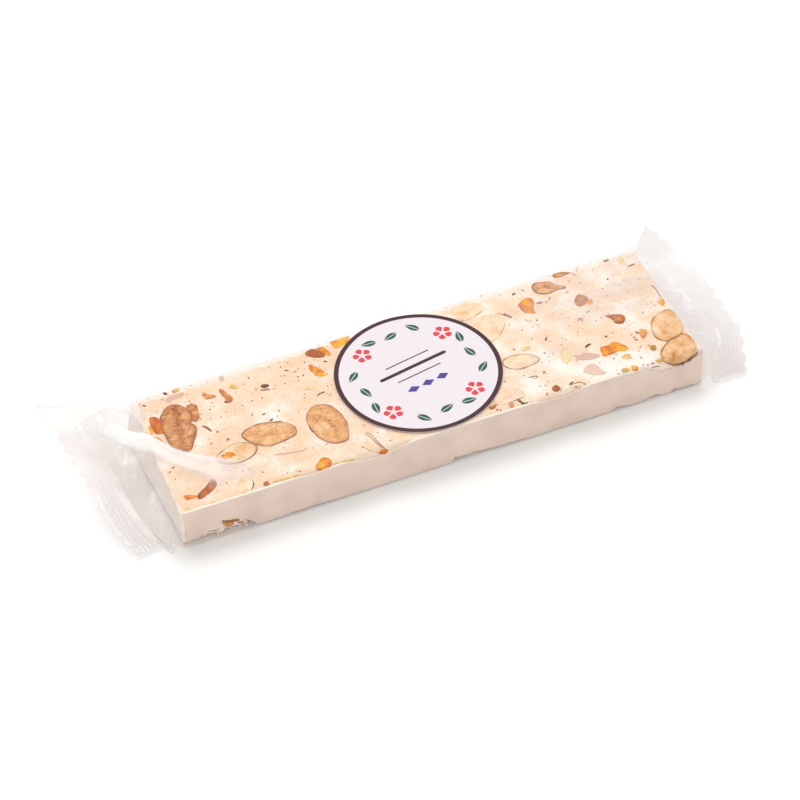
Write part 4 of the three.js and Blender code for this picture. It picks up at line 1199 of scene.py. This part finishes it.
def block_mesh(s):
    """The nougat block, with a sawn top, crushed and torn edges and rough ends. Its pale sides and back
    highlight value is 1 on the sides and the ends, and along the soft back edge where it is a painted
    highlight, and 0 on the sawn top; its paleness and highlight value is higher where it is paler, partly
    from painted highlights."""
    shares = np.linspace(0, 1, BLOCK_RINGS + 1)
    front = front_x(s, shares)
    rings = []
    for share, x0, tear in zip(shares, front, torn_height(front, s.seed)):
        y, z = block_section(s, EDGE_ROUND + crush(x0), tear)
        left, right = (block_end(s, side, y, z) for side in (-1, 1))
        rings.append(np.column_stack([left + (right - left) * share, y, z]))
    middle = np.array([0, 0, s.height / 2])
    for end, side in ((0, -1), (-1, 1)):
        rim = rings[end]
        caps = []
        for i in range(1, CAP_RINGS + 1):
            cap = middle + (rim - middle) * (1 - (1 - CAP_INNER) * i / CAP_RINGS)
            cap[:, 0] = block_end(s, side, cap[:, 1], cap[:, 2])
            caps.append(cap)
        rings = caps[::-1] + rings if side < 0 else rings + caps
    rings = np.array(rings)
    x, y, z = rings[..., 0], rings[..., 1], rings[..., 2]
    lumps = noise_at(rings, LUMP_SIZE, s.seed + 2)
    grit = noise_at(rings, GRIT_SIZE, s.seed + 3)
    capping = np.zeros((len(rings), 1))
    capping[:CAP_RINGS] = 1
    capping[-CAP_RINGS:] = -1
    radius = EDGE_ROUND + crush(x)
    over_edge = smooth((-y - s.nougat_half + radius) / radius)
    # Painted highlight: the soft back edge takes the paler side colour so that it shows white.
    behind = smooth((y - s.nougat_half + 3.3 + 0.5 * lumps + 0.4 * grit) / 1.4)
    to_end = s.length / 2 - np.abs(x - LEFT_END_SKEW * y / s.width) + 0.5 * lumps
    near_end = smooth(1 - to_end / 1.6)
    low_down = smooth(s.height - CRUST_DEPTH - z)
    crust = np.maximum.reduce([0.3 * over_edge, low_down, behind, near_end])
    near_top = smooth((z - (s.height - 1.2)) / 0.8)
    z -= near_top * near_end * END_ROUND
    z += near_top * (top_relief(s, x, y) + 0.03 * lumps)
    z -= smooth(crush(x)) * over_edge * near_top * 0.3 * np.clip(lumps + grit, 0, 1)
    x += (capping - 0.5 * np.sign(x) * near_end) * END_ROUGHNESS * (lumps + 0.5 * grit)
    low_front = smooth((-y - (s.width / 2 - 9)) / 2) * (1 - smooth((z - 8) / 2))
    torn = low_front * smooth((torn_line(x) - 0.8) / 1.5)
    y += torn * TORN_ROUGHNESS * (lumps + grit)
    z += torn * 0.2 * grit * (z > UNDER_GAP + 0.2)
    cream = LEFT_CREAM + RIGHT_PALER * smooth((x - 10) / 16)
    # Some of these places are painted highlights.
    for middle_x, middle_y, long, broad, degrees, strength in PALE_AND_HIGHLIGHT_PLACES:
        place = turned(x.ravel() - middle_x, y.ravel() - middle_y, (0, 0), -degrees) / (long, broad)
        cream += PLACE_STRENGTH * strength * np.exp(-np.sum(place ** 2, axis=1)).reshape(x.shape)
    return capped(rings, crust=crust, cream=cream)


def wafer_mesh(s, side):
    """Points, faces and bright edge of one wafer sheet, front (side -1) or back, thin and closed. The bright
    top edge is partly its own paler cut and partly a painted highlight.
    """
    x = np.linspace(-0.5, 0.5, WAFER_COLUMNS) * (s.length - 1.0)
    outside = side * (s.width / 2 - s.gap * 0.6)
    inside = side * s.nougat_half
    high = s.height - s.gap - 0.05 + 0.06 * noise_along(x, 5, s.seed) + top_relief(s, x, outside + 0 * x)
    broken = worn(x, BROKEN_WAFER)
    if side < 0:
        low = torn_height(x, s.seed)
        ragged = 0.2 * noise_along(x, 1.7, s.seed + 8) + 0.12 * noise_along(x, 0.7, s.seed + 9)
        high = high - (0.88 * crush(x) + broken) * (1 + ragged)
    else:
        low = 0.35 + 0.2 * np.abs(noise_along(x, 3, s.seed + 9))
        high = high - SAWN_BACK[1] - 0.2
    levels = [*np.linspace(0, 0.96, WAFER_ROWS - 1), 1.0]
    points = np.array([
        np.column_stack([x, np.full(WAFER_COLUMNS, place), low + (high - low) * level])
        for place in (outside, inside) for level in levels
    ])
    points[..., 1] += 0.06 * noise_at(points, 11, s.seed + 4)
    loops = np.concatenate([points[:WAFER_ROWS], points[WAFER_ROWS:][::-1]]).transpose(1, 0, 2)
    # Painted highlight, partly the paler cut: the top row is coloured brighter, less where the edge is
    # crushed or broken.
    top_row = np.zeros(2 * WAFER_ROWS)
    top_row[WAFER_ROWS - 1:WAFER_ROWS + 1] = 1
    bright = top_row * (1 - 0.9 * smooth((crush(x) + broken) / 0.8))[:, None]
    return capped(loops, bright=bright)


# ---------------------------------------------------------------- almonds, fruit and specks

ALMOND_SIDES = 64
KERNEL_RINGS = 14
KERNEL_RISE = 0.15
KERNEL_LUMPS = 0.04
HEART_DIP = 0.07   # how far the heart of a roasted kernel sinks in
SKIN_RISES = (0.19, 0.16)  # of the inner and the outer edge of the skin round a kernel
SKIN_TONE = 0.42
SUNK = -1.0        # rise of the hidden foot of an almond, and of a chip
CHIP_SUNK = -0.7
CHIP_SIDES = 36
CHIP_CROWN = ((0.1, 1.0), (0.35, 0.95), (0.6, 0.85), (0.82, 0.65), (0.95, 0.35), (1.0, 0.05))
SHRED_STEPS = 15
SHRED_PROFILE = ((-1, -0.5), (-1, 0.04), (0, 0.12), (1, 0.04), (1, -0.5))  # across, and rise
FLECK_SIDES = 8
FLECK_CROWN = ((0.3, 0.07), (0.8, 0.06), (1, 0.0), (1, -0.3))
FRUIT_RISE = 0.2
TORN_RISE = 0.5    # rise of the chips in the torn edge, and of its pieces of nougat
CLOD_RISE = 0.7
END_ZONE = 3.0     # distance from an end of the block in which the places are drawn together
END_MARGIN = 0.3
BACK_MARGIN = 0.25
BASE_SHARE = 0.93  # how far out along the underside its pieces lie, against those of the top
BASE_MARGINS = (2.2, 0.8)  # how far they keep from its front and its back edge
BASE_FLATTER = 0.6
CRUMBS = 14        # loose crumbs, and where along the bar they lie
CRUMB_PLACES = (-78, -62)


def held_in(s, x, y):
    """X of a place on the top, drawn in where it would reach past an end of the block."""
    for side in (-1, 1):
        start = side * end_x(s, side, y) - s.gap - END_MARGIN - END_ZONE
        over = np.maximum(side * x - start, 0)
        x = x - side * (over - END_ZONE * (1 - np.exp(-over / END_ZONE)))
    return x


def on_top(s, x, y, rise):
    """Points on the nougat for places on its top. A place past the front edge slides down over the crushed
    edge and the side, and one near the back follows the soft edge. The rise is measured outwards."""
    x = held_in(s, x, y)
    half = s.nougat_half
    along, across = SLIDE
    a = 1 + across ** 2
    drop = 0 * x
    for _ in range(4):
        radius = EDGE_ROUND + crush(x + along * drop)
        past = y + half - radius
        b = radius - across * past
        curved = (b - np.sqrt(np.maximum(b * b - a * past ** 2, 0))) / a
        arc = (past < 0) & (past > -(1 + across) * radius)
        side = past <= -(1 + across) * radius
        drop = np.where(arc, curved, np.where(side, (-half - y) / across, 0))
    new_y = np.minimum(y + across * drop, half - BACK_MARGIN)
    lean = np.where(arc, (past + across * drop) / radius, np.where(side, -1.0, 0.0))
    upright = np.where(arc, (radius - drop) / radius, np.where(side, 0.0, 1.0))
    z = s.height - s.gap + top_relief(s, x, new_y) - drop
    z -= back_drop(s, new_y + s.gap + s.wafer, *SAWN_BACK)
    return np.stack([x + along * drop, new_y + lean * rise, z + upright * rise], axis=-1)


def on_base(s, x, y, rise):
    """Points on the nougat's underside, turned over about the Y axis from places on its top."""
    half = s.nougat_half
    front, back = BASE_MARGINS
    z = UNDER_GAP - np.where(rise > 0, BASE_FLATTER, 1.0) * rise
    return np.stack([-BASE_SHARE * x, np.clip(y, -half + front, half - back), z + 0 * x], axis=-1)


def moved(outline, move):
    """An outline turned by degrees and shifted to a place, if there is a move (x, y, degrees)."""
    if move is None:
        return outline
    spread = outline - outline.mean(axis=0)
    return turned(spread[:, 0], spread[:, 1], move[:2], move[2])


def in_tear(s, x, z, rise):
    """Points on the torn nougat in the front side, for places along the side and up it."""
    return np.stack([x, recess(torn_line(x), z) - s.nougat_half - rise, z], axis=-1)


def inlay(s, surface, outline, levels):
    """Rings of a piece set in a surface, each at a share of its outline and with its rise."""
    centre = outline.mean(axis=0)
    rings = []
    for share, rise in levels:
        places = centre + (outline - centre) * share
        rings.append(surface(s, places[:, 0], places[:, 1], rise))
    return rings


def almond_parts(s, almond, seed, surface, move):
    """The kernel of one cut almond and, in a list, its skin if that shows."""
    roast, blush, thick, text = almond
    outline = moved(round_outline(text, ALMOND_SIDES), move)
    spread = outline - outline.mean(axis=0)
    short_way = quarter_left(np.linalg.svd(spread, full_matrices=False)[2][0])
    shares = np.linspace(0.03, 1, KERNEL_RINGS)
    flat = outline.mean(axis=0) + spread * shares[:, None, None]
    rim = np.repeat(shares[:, None], ALMOND_SIDES, axis=1)
    aside = (flat - outline.mean(axis=0)) @ short_way
    aside += 0.7 * noise_at(flat, 3.5, seed + 1)
    heart = np.exp(-(aside / (0.12 * np.ptp(spread @ short_way))) ** 2) * (1 - rim ** 3)
    rise = KERNEL_RISE + KERNEL_LUMPS * noise_at(flat, 2.2, seed + 2) - HEART_DIP * roast * heart
    rings = [surface(s, ring[:, 0], ring[:, 1], level) for ring, level in zip(flat, rise)]
    rings.append(surface(s, outline[:, 0], outline[:, 1], SUNK))
    rim, heart = (np.vstack([value, value[-1:]]) for value in (rim, heart))
    kernel = capped(rings, rim=rim, heart=heart, roast=roast, blush=blush)
    if not thick:
        return kernel, []
    wall = thick * np.clip(0.8 + 0.8 * noise_at(outline, 3.0, seed + 3), 0.25, 1.6)
    outer = outline + outward(outline) * wall[:, None]
    lines = (outline, outline, outer, outer, outline)
    rings = np.array([
        surface(s, line[:, 0], line[:, 1], level)
        for line, level in zip(lines, (SUNK, *SKIN_RISES, SUNK, SUNK))
    ])
    return kernel, [(rings, grid_faces(len(rings), ALMOND_SIDES), {"tone": SKIN_TONE})]


def chip(s, surface, text, rise, seed, move=None, **marks):
    """One chip set in a surface, with a ragged outline and a low crown."""
    outline = moved(round_outline(text, CHIP_SIDES), move)
    reach = min(np.ptp(outline, axis=0))
    ragged = 0.05 * noise_at(outline, 0.5, seed) + 0.1 * noise_at(outline, 1.3, seed + 1)
    outline = outline + outward(outline) * (min(1, reach / 2) * ragged)[:, None]
    wobble = 1 + 0.3 * noise_at(outline, 1.0, seed + 2)
    levels = [(share, rise * lift * wobble) for share, lift in CHIP_CROWN]
    return capped(inlay(s, surface, outline, [*levels, (1.0, CHIP_SUNK)]), **marks)


def shred(s, surface, width, tone, text):
    """One curved shred of skin lying flat in a surface."""
    path = smooth_line(trace(text), np.linspace(0, 1, SHRED_STEPS))
    t = np.linspace(-1, 1, SHRED_STEPS)
    half = width / 2 * np.sqrt(np.clip(1 - 0.92 * t * t, 0.03, 1))
    sides = quarter_left(unit(np.gradient(path, axis=0))) * half[:, None]
    loops = []
    for aside, rise in SHRED_PROFILE:
        line = path + aside * sides
        loops.append(surface(s, line[:, 0], line[:, 1], rise))
    return capped(np.stack(loops, axis=1), tone=tone)


def fleck(s, surface, draw, x, y, radius):
    """One small uneven flake in a surface."""
    angle = np.linspace(0, FULL_TURN, FLECK_SIDES, endpoint=False)
    stretch = draw.uniform(1.0, 1.8)
    turn = math.degrees(draw.uniform(0, math.pi))
    jag = radius * np.array([draw.uniform(0.65, 1.15) for _ in range(FLECK_SIDES)])
    along, aside = stretch * jag * np.cos(angle), jag * np.sin(angle) / stretch ** 0.5
    outline = turned(along, aside, (x, y), turn)
    return capped(inlay(s, surface, outline, FLECK_CROWN))


def speck_parts(s, draw):
    """Flecks of skin, the large ones at their places in the top and fine ones scattered in both faces."""
    parts = [fleck(s, on_top, draw, *place) for place in FLECKS]
    while len(parts) < s.specks:
        x = draw.uniform(-s.length / 2 + 2, s.length / 2 - 2)
        y = draw.uniform(-s.width / 2 + 1.2, s.width / 2 - 1.6)
        if math.hypot(x - s.label_x, y) < s.label_radius + 0.6:
            continue
        parts.append(fleck(s, on_top, draw, x, y, 0.08 + 0.24 * draw.random() ** 2.5))
    for _ in range(s.specks):
        x = draw.uniform(-s.length / 2 + 2, s.length / 2 - 2)
        y = draw.uniform(-s.width / 2 + 3.5, s.width / 2 - 1.6)
        parts.append(fleck(s, on_base, draw, x, y, 0.08 + 0.34 * draw.random() ** 2.5))
    return parts


def crumb(draw, place, size):
    """One crumb, a small uneven lump."""
    rings, sides = 5, 8
    points = np.empty((rings, sides, 3))
    for i in range(rings):
        polar = math.pi * (i + 0.5) / rings
        for k in range(sides):
            angle = FULL_TURN * k / sides
            radius = size / 2 * draw.uniform(0.7, 1.15)
            across = radius * math.sin(polar)
            points[i, k] = across * math.cos(angle), across * math.sin(angle), 0.55 * radius * math.cos(polar)
    return capped(points + place, crust=1.0)


# ---------------------------------------------------------------- label

INK_RISE = 0.02
PRINT_TURN = 10  # degrees that the print is turned from the bar's long side
LABEL_SIDES = 144
WREATH_RADIUS = 18.2
WREATH_PLACES = 16  # leaves, with a flower in place of every fourth one
PETALS = 5
PETAL_REACH = 2.9
LEAF_SIZE = (4.8, 2.1)
LEAF_LEANS = (66, 112)  # degrees that the leaves lean from the way out, in turn
RULES = ((6.2, 15, 0.4), (2.8, 23, 1.2), (-0.6, 15, 0.4))  # place across the label, length and width
LOZENGES = ((-5, -5.4), (0, -5.4), (5, -5.4))
LOZENGE_SIZE = 2.6


def label_height(s, x, y):
    """Height of the label's face, nearly level."""
    wave = np.sin(FULL_TURN * (x / 37 + 0.1)) * np.sin(FULL_TURN * (y / 41 + 0.2))
    return s.label_top - 0.08 + 0.05 * wave


def label_mesh(s):
    """The paper disc, with a soft rim."""
    angle = np.linspace(0, FULL_TURN, LABEL_SIDES, endpoint=False)

    def ring(radius, drop=0.0, height=None):
        x, y = s.label_x + radius * np.cos(angle), radius * np.sin(angle)
        z = label_height(s, x, y) - drop if height is None else np.full(LABEL_SIDES, height)
        return np.column_stack([x, y, z])

    rings = [ring(share * (s.label_radius - 0.05)) for share in np.linspace(0.02, 1, 26)]
    rings += [ring(s.label_radius, drop) for drop in (0.05, 0.15)]
    rings += [ring(share * s.label_radius, height=s.height + 0.02) for share in (0.98, 0.5, 0.02)]
    return capped(rings)


def printed(s, line_a, line_b, looped=False):
    """A flat printed shape between two lines of like length, as a thin closed solid on the label."""
    loops = []
    for line, rise in ((line_a, INK_RISE), (line_b, INK_RISE), (line_b, -INK_RISE), (line_a, -INK_RISE)):
        place = turned(line[:, 0], line[:, 1], (s.label_x, 0), PRINT_TURN)
        loops.append(np.column_stack([place, label_height(s, *place.T) + rise]))
    points = np.stack(loops, axis=1)
    return (points, grid_faces(len(points), 4, looped=True), {}) if looped else capped(points)


def ring_shape(s, outer, width):
    """The printed ring, from its outer radius inwards."""
    angle = np.linspace(0, FULL_TURN, 192, endpoint=False)
    circle = np.column_stack([np.cos(angle), np.sin(angle)])
    return printed(s, circle * outer, circle * (outer - width), looped=True)


def even_shape(s, x, half, place, degrees=0):
    """A printed shape with two like sides, from its half breadth at places along its middle line."""
    return printed(s, *(turned(x, way * half, place, degrees) for way in (1, -1)))


def leaf_shapes(s, place, length, width, degrees):
    """A leaf as two halves with a bare midrib between them."""
    t = np.linspace(0.02, 1, 12)
    edge = 0.12 + width / 2 * np.sin(math.pi * t ** 0.8)
    shapes = []
    for way in (-1, 1):
        lines = [turned(t * length, way * y, place, degrees) for y in (0.12 + 0 * t, edge)]
        shapes.append(printed(s, *lines[::way]))
    return shapes


def petal_shapes(s, place, radius):
    """Round petals about a place."""
    t = np.linspace(0.03, 0.985, 12)
    x = 0.22 * radius + t * 0.8 * radius
    half = radius * 0.36 * np.sin(math.pi * t ** 1.5) ** 0.7
    return [even_shape(s, x, half, place, 90 + 360 / PETALS * k) for k in range(PETALS)]


def spot(radius, degrees):
    """A place on the label at a distance from its middle, in a direction."""
    return radius * math.cos(math.radians(degrees)), radius * math.sin(math.radians(degrees))


def bar_shape(s, y, length, width):
    """A plain printed rule with round ends."""
    t = np.sin(np.linspace(-math.pi / 2, math.pi / 2, 31))
    past = np.maximum(0, np.abs(t) * length / 2 - length / 2 + width / 2)
    half = width / 2 * np.sqrt(np.clip(1 - past ** 2 / (width / 2) ** 2, 0.01, 1))
    return even_shape(s, t * length / 2, half, (0, y))


def diamond_shape(s, place, size):
    """A lozenge with its points along the bar and across it."""
    return even_shape(s, 0.8 * size * np.array([-1, 0, 1]), size / 2 * np.array([0.02, 1, 0.02]), place)


# ---------------------------------------------------------------- operators

BACK_SEAL_STEPS = 330
BACK_SEAL_SIDES = (-1.0, 9.0)
BACK_SEAL_LEVELS = (0.02, 0.1)

FLOOR_REACH = 4.0  # the stage is in metres
FLOOR_LEVEL = -0.0002
SKY_COLOUR = (1.0, 0.995, 0.99, 1)
SKY_STRENGTH = 0.74
LIGHTS = (  # name, place, width, height and power
    ("softbox_top", (0.05, 0.35, 0.87), 0.6, 0.4, 3.3),
    ("softbox_back", (0.1, 1.1, 0.38), 1.6, 0.5, 3.0),
    ("softbox_front", (-0.5, -0.9, 0.75), 0.8, 0.6, 1.9),
)
CAMERA_AZIMUTH = -20.945  # degrees
CAMERA_ELEVATION = 44.791
CAMERA_ROLL = -2.272
CAMERA_DISTANCE = 0.741127
CAMERA_TARGET = (-0.006436, -0.001559, 0.0074)
CAMERA_LENS = 112.5


class NOUGAT_OT_film(bpy.types.Operator):
    """Wraps the bar in its clear film with a crimped seal at each end"""

    bl_idname = "nougat.make_film"
    bl_label = "Film wrap"

    def execute(self, context):
        s = Sizes(context.scene.nougat_sizes)
        material = film_material(context.scene.nougat_colours)
        mesh_piece("film_wrap", *film_mesh(s), material, "film", replaces=("film_pack",))
        return {"FINISHED"}


class NOUGAT_OT_block(bpy.types.Operator):
    """Adds the nougat block"""

    bl_idname = "nougat.make_block"
    bl_label = "Nougat block"

    def execute(self, context):
        s = Sizes(context.scene.nougat_sizes)
        material = nougat_material(context.scene.nougat_colours)
        mesh_piece("nougat_block", *block_mesh(s), material, "nougat", replaces=("film_pack",), sharp=60)
        return {"FINISHED"}


class NOUGAT_OT_wafers(bpy.types.Operator):
    """Adds the wafer sheet on each long side"""

    bl_idname = "nougat.make_wafers"
    bl_label = "Wafer sheets"

    def execute(self, context):
        s = Sizes(context.scene.nougat_sizes)
        material = wafer_material(context.scene.nougat_colours)
        for name, side in (("wafer_front", -1), ("wafer_back", 1)):
            mesh_piece(name, *wafer_mesh(s, side), material, "wafer", sharp=50)
        return {"FINISHED"}


class NOUGAT_OT_almonds(bpy.types.Operator):
    """Sets the cut almonds and the shreds of their skin in the top, the underside and the torn edge"""

    bl_idname = "nougat.make_almonds"
    bl_label = "Cut almonds"

    def execute(self, context):
        s = Sizes(context.scene.nougat_sizes)
        colours = context.scene.nougat_colours
        kernels, skins = [], []
        places = [(almond, on_top, None) for almond in ALMONDS]
        places += [(almond, on_base, None) for almond in ALMONDS]
        places += [(ALMONDS[index], on_base, move) for index, *move in BASE_ALMONDS]
        for k, (almond, surface, move) in enumerate(places):
            kernel, skin = almond_parts(s, almond, s.seed + 10 * k, surface, move)
            kernels.append(kernel)
            skins += skin
        for k, (kind, tone, text) in enumerate(FRONT_BITS):
            if kind == "skin":
                skins.append(chip(s, in_tear, text, TORN_RISE, s.seed + k, tone=tone))
            elif kind == "kernel":
                marks = {"rim": 0, "heart": 0, "roast": tone, "blush": 0}
                kernels.append(chip(s, in_tear, text, TORN_RISE, s.seed + k, **marks))
        skins += [shred(s, surface, *line) for line in SHREDS for surface in (on_top, on_base)]
        mesh_piece("almond_kernels", *joined(kernels), kernel_material(colours), "almond", sharp=60)
        mesh_piece("almond_skins", *joined(skins), skin_material(colours), "almond", sharp=60)
        return {"FINISHED"}


class NOUGAT_OT_fruit(bpy.types.Operator):
    """Sets the pieces of candied fruit in the top and the underside"""

    bl_idname = "nougat.make_fruit"
    bl_label = "Candied fruit"

    def execute(self, context):
        s = Sizes(context.scene.nougat_sizes)
        c = context.scene.nougat_colours
        looks = {
            "orange": candied_material("candied orange peel", c.orange_deep, c.orange_peel, c.orange_bright),
            "lemon": candied_material("candied lemon peel", c.lemon_deep, c.lemon_peel, c.lemon_bright),
            "cherry": candied_material("candied cherry", c.cherry_deep, c.cherry, c.cherry_bright),
        }
        places = [(*fruit, on_top, None) for fruit in FRUIT]
        places += [(*fruit, on_base, None) for fruit in FRUIT]
        places += [(*FRUIT[index], on_base, move) for index, *move in BASE_FRUIT]
        parts = {kind: [] for kind in looks}
        for k, (kind, tone, text, surface, move) in enumerate(places):
            shade = np.linspace(tone + 0.08, tone - 0.12, len(CHIP_CROWN) + 1)
            marks = {"tone": np.repeat(shade, CHIP_SIDES)}
            parts[kind].append(chip(s, surface, text, FRUIT_RISE, s.seed + 5 * k, move, **marks))
        for kind, material in looks.items():
            mesh_piece(f"fruit_{kind}", *joined(parts[kind]), material, "fruit", sharp=50)
        return {"FINISHED"}


class NOUGAT_OT_specks(bpy.types.Operator):
    """Scatters fine flakes of skin on the top and the underside, and crumbs along the torn edge"""

    bl_idname = "nougat.make_specks"
    bl_label = "Specks and crumbs"

    def execute(self, context):
        s = Sizes(context.scene.nougat_sizes)
        colours = context.scene.nougat_colours
        draw = random.Random(s.seed + 1)
        flecks = speck_parts(s, draw)
        for _, _, marks in flecks:
            marks["tone"] = 0.75 * draw.random() ** 1.5
        mesh_piece("skin_specks", *joined(flecks), skin_material(colours), "almond")
        crumbs = [
            chip(s, in_tear, text, CLOD_RISE, s.seed + k, crust=1.0)
            for k, (kind, _, text) in enumerate(FRONT_BITS) if kind == "nougat"
        ]
        for _ in range(CRUMBS):
            x = draw.uniform(*CRUMB_PLACES)
            size = 0.4 + 0.9 * draw.random() ** 2
            y = -s.width / 2 + draw.uniform(1.4, 2.2)
            crumbs.append(crumb(draw, (x, y, 0.2 + 0.35 * size), size))
        mesh_piece("crumbs", *joined(crumbs), nougat_material(colours), "nougat")
        return {"FINISHED"}


class NOUGAT_OT_label(bpy.types.Operator):
    """Sticks the round label on the film and prints it"""

    bl_idname = "nougat.make_label"
    bl_label = "Label"

    def execute(self, context):
        s = Sizes(context.scene.nougat_sizes)
        colours = context.scene.nougat_colours
        paper = paper_material(colours)
        mesh_piece("label_disc", *label_mesh(s), paper, "label", replaces=("label",), sharp=50)
        leaves, flowers = [], []
        for k in range(WREATH_PLACES):
            degrees = 360 / WREATH_PLACES * (k + 0.5)
            if k % 4 == 1:
                flowers += petal_shapes(s, spot(WREATH_RADIUS, degrees), PETAL_REACH)
            else:
                lean = LEAF_LEANS[k % 2]
                leaves += leaf_shapes(s, spot(WREATH_RADIUS, degrees), *LEAF_SIZE, degrees + lean)
        ring = ring_shape(s, s.label_radius - 0.02, s.ring_width)
        inks = {
            "plum": [ring, *(bar_shape(s, *rule) for rule in RULES)],
            "leaf": leaves,
            "coral": flowers,
            "blue": [diamond_shape(s, place, LOZENGE_SIZE) for place in LOZENGES],
        }
        for ink, shapes in inks.items():
            material = ink_material(f"printing ink, {ink}", getattr(colours, ink))
            mesh_piece(f"print_{ink}", *joined(shapes), material, "label", sharp=30)
        return {"FINISHED"}


class NOUGAT_OT_back_seal(bpy.types.Operator):
    """Adds the long seal that lies flat under the bar"""

    bl_idname = "nougat.make_back_seal"
    bl_label = "Back seal"

    def execute(self, context):
        s = Sizes(context.scene.nougat_sizes)
        x = np.linspace(-s.length / 2 + 1, s.length / 2 - 1, BACK_SEAL_STEPS)
        ribs = np.abs(0.02 * np.cos(FULL_TURN * x / s.rib_pitch))
        (front, back), (low, high) = BACK_SEAL_SIDES, BACK_SEAL_LEVELS
        loops = [
            np.column_stack([x, np.full(len(x), y), z])
            for y, z in ((front, low + ribs), (back, low + ribs), (back, high + 0 * x), (front, high + 0 * x))
        ]
        material = film_material(context.scene.nougat_colours)
        mesh_piece("back_seal", *capped(np.stack(loops, axis=1), haze=0.1), material, "film", sharp=40)
        return {"FINISHED"}


class NOUGAT_OT_stage(bpy.types.Operator):
    """Adds the floor, the studio lights and the camera"""

    bl_idname = "nougat.make_stage"
    bl_label = "Stage"

    def execute(self, context):
        scene = context.scene
        mesh = bpy.data.meshes.new("floor")
        corners = [(-1, -1), (1, -1), (1, 1), (-1, 1)]
        points = [(x * FLOOR_REACH, y * FLOOR_REACH, FLOOR_LEVEL) for x, y in corners]
        mesh.from_pydata(points, [], [(0, 1, 2, 3)])
        mesh.materials.append(floor_material(scene.nougat_colours))
        floor = bpy.data.objects.new("floor", mesh)
        scene.collection.objects.link(floor)

        world = bpy.data.worlds.new("studio")
        world.use_nodes = True
        sky = world.node_tree.nodes["Background"].inputs
        sky["Color"].default_value = SKY_COLOUR
        sky["Strength"].default_value = SKY_STRENGTH
        scene.world = world

        for name, place, width, height, power in LIGHTS:
            data = bpy.data.lights.new(name, "AREA")
            data.shape = "RECTANGLE"
            data.size = width
            data.size_y = height
            data.energy = power
            lamp = bpy.data.objects.new(name, data)
            lamp.location = place
            lamp.rotation_euler = (-Vector(place)).to_track_quat("-Z", "Y").to_euler()
            scene.collection.objects.link(lamp)

        a, e, r = (math.radians(v) for v in (CAMERA_AZIMUTH, CAMERA_ELEVATION, CAMERA_ROLL))
        back = Vector((math.sin(a) * math.cos(e), -math.cos(a) * math.cos(e), math.sin(e)))
        level = Vector((math.cos(a), math.sin(a), 0))
        upright = back.cross(level)
        right = math.cos(r) * level + math.sin(r) * upright
        up = back.cross(right)
        camera = bpy.data.objects.new("camera", bpy.data.cameras.new("camera"))
        camera.data.lens = CAMERA_LENS
        camera.data.clip_start = 0.01
        turn = Matrix((right, up, back)).transposed().to_4x4()
        camera.matrix_world = Matrix.Translation(Vector(CAMERA_TARGET) + back * CAMERA_DISTANCE) @ turn
        scene.collection.objects.link(camera)
        scene.camera = camera
        scene.view_settings.view_transform = "Standard"
        return {"FINISHED"}


class NOUGAT_PT_panel(bpy.types.Panel):
    """Sizes, colours and pieces of the nougat bar"""

    bl_idname = "NOUGAT_PT_panel"
    bl_label = "Nougat Bar"
    bl_space_type = "VIEW_3D"
    bl_region_type = "UI"
    bl_category = "Nougat"

    def draw(self, context):
        for group in (context.scene.nougat_sizes, context.scene.nougat_colours):
            box = self.layout.box()
            for name in group.__annotations__:
                box.prop(group, name)
        for operator in OPERATORS:
            self.layout.operator(operator.bl_idname)


OPERATORS = (
    NOUGAT_OT_film,
    NOUGAT_OT_block,
    NOUGAT_OT_wafers,
    NOUGAT_OT_almonds,
    NOUGAT_OT_fruit,
    NOUGAT_OT_specks,
    NOUGAT_OT_label,
    NOUGAT_OT_back_seal,
    NOUGAT_OT_stage,
)
CLASSES = (NougatSizes, NougatColours, *OPERATORS, NOUGAT_PT_panel)


def register():
    for cls in CLASSES:
        bpy.utils.register_class(cls)
    bpy.types.Scene.nougat_sizes = PointerProperty(type=NougatSizes)
    bpy.types.Scene.nougat_colours = PointerProperty(type=NougatColours)


def unregister():
    del bpy.types.Scene.nougat_colours
    del bpy.types.Scene.nougat_sizes
    for cls in reversed(CLASSES):
        bpy.utils.unregister_class(cls)


def main():
    """Builds every piece in turn."""
    register()
    for operator in OPERATORS:
        group, name = operator.bl_idname.split(".")
        getattr(getattr(bpy.ops, group), name)()


if __name__ == "__main__":
    main()
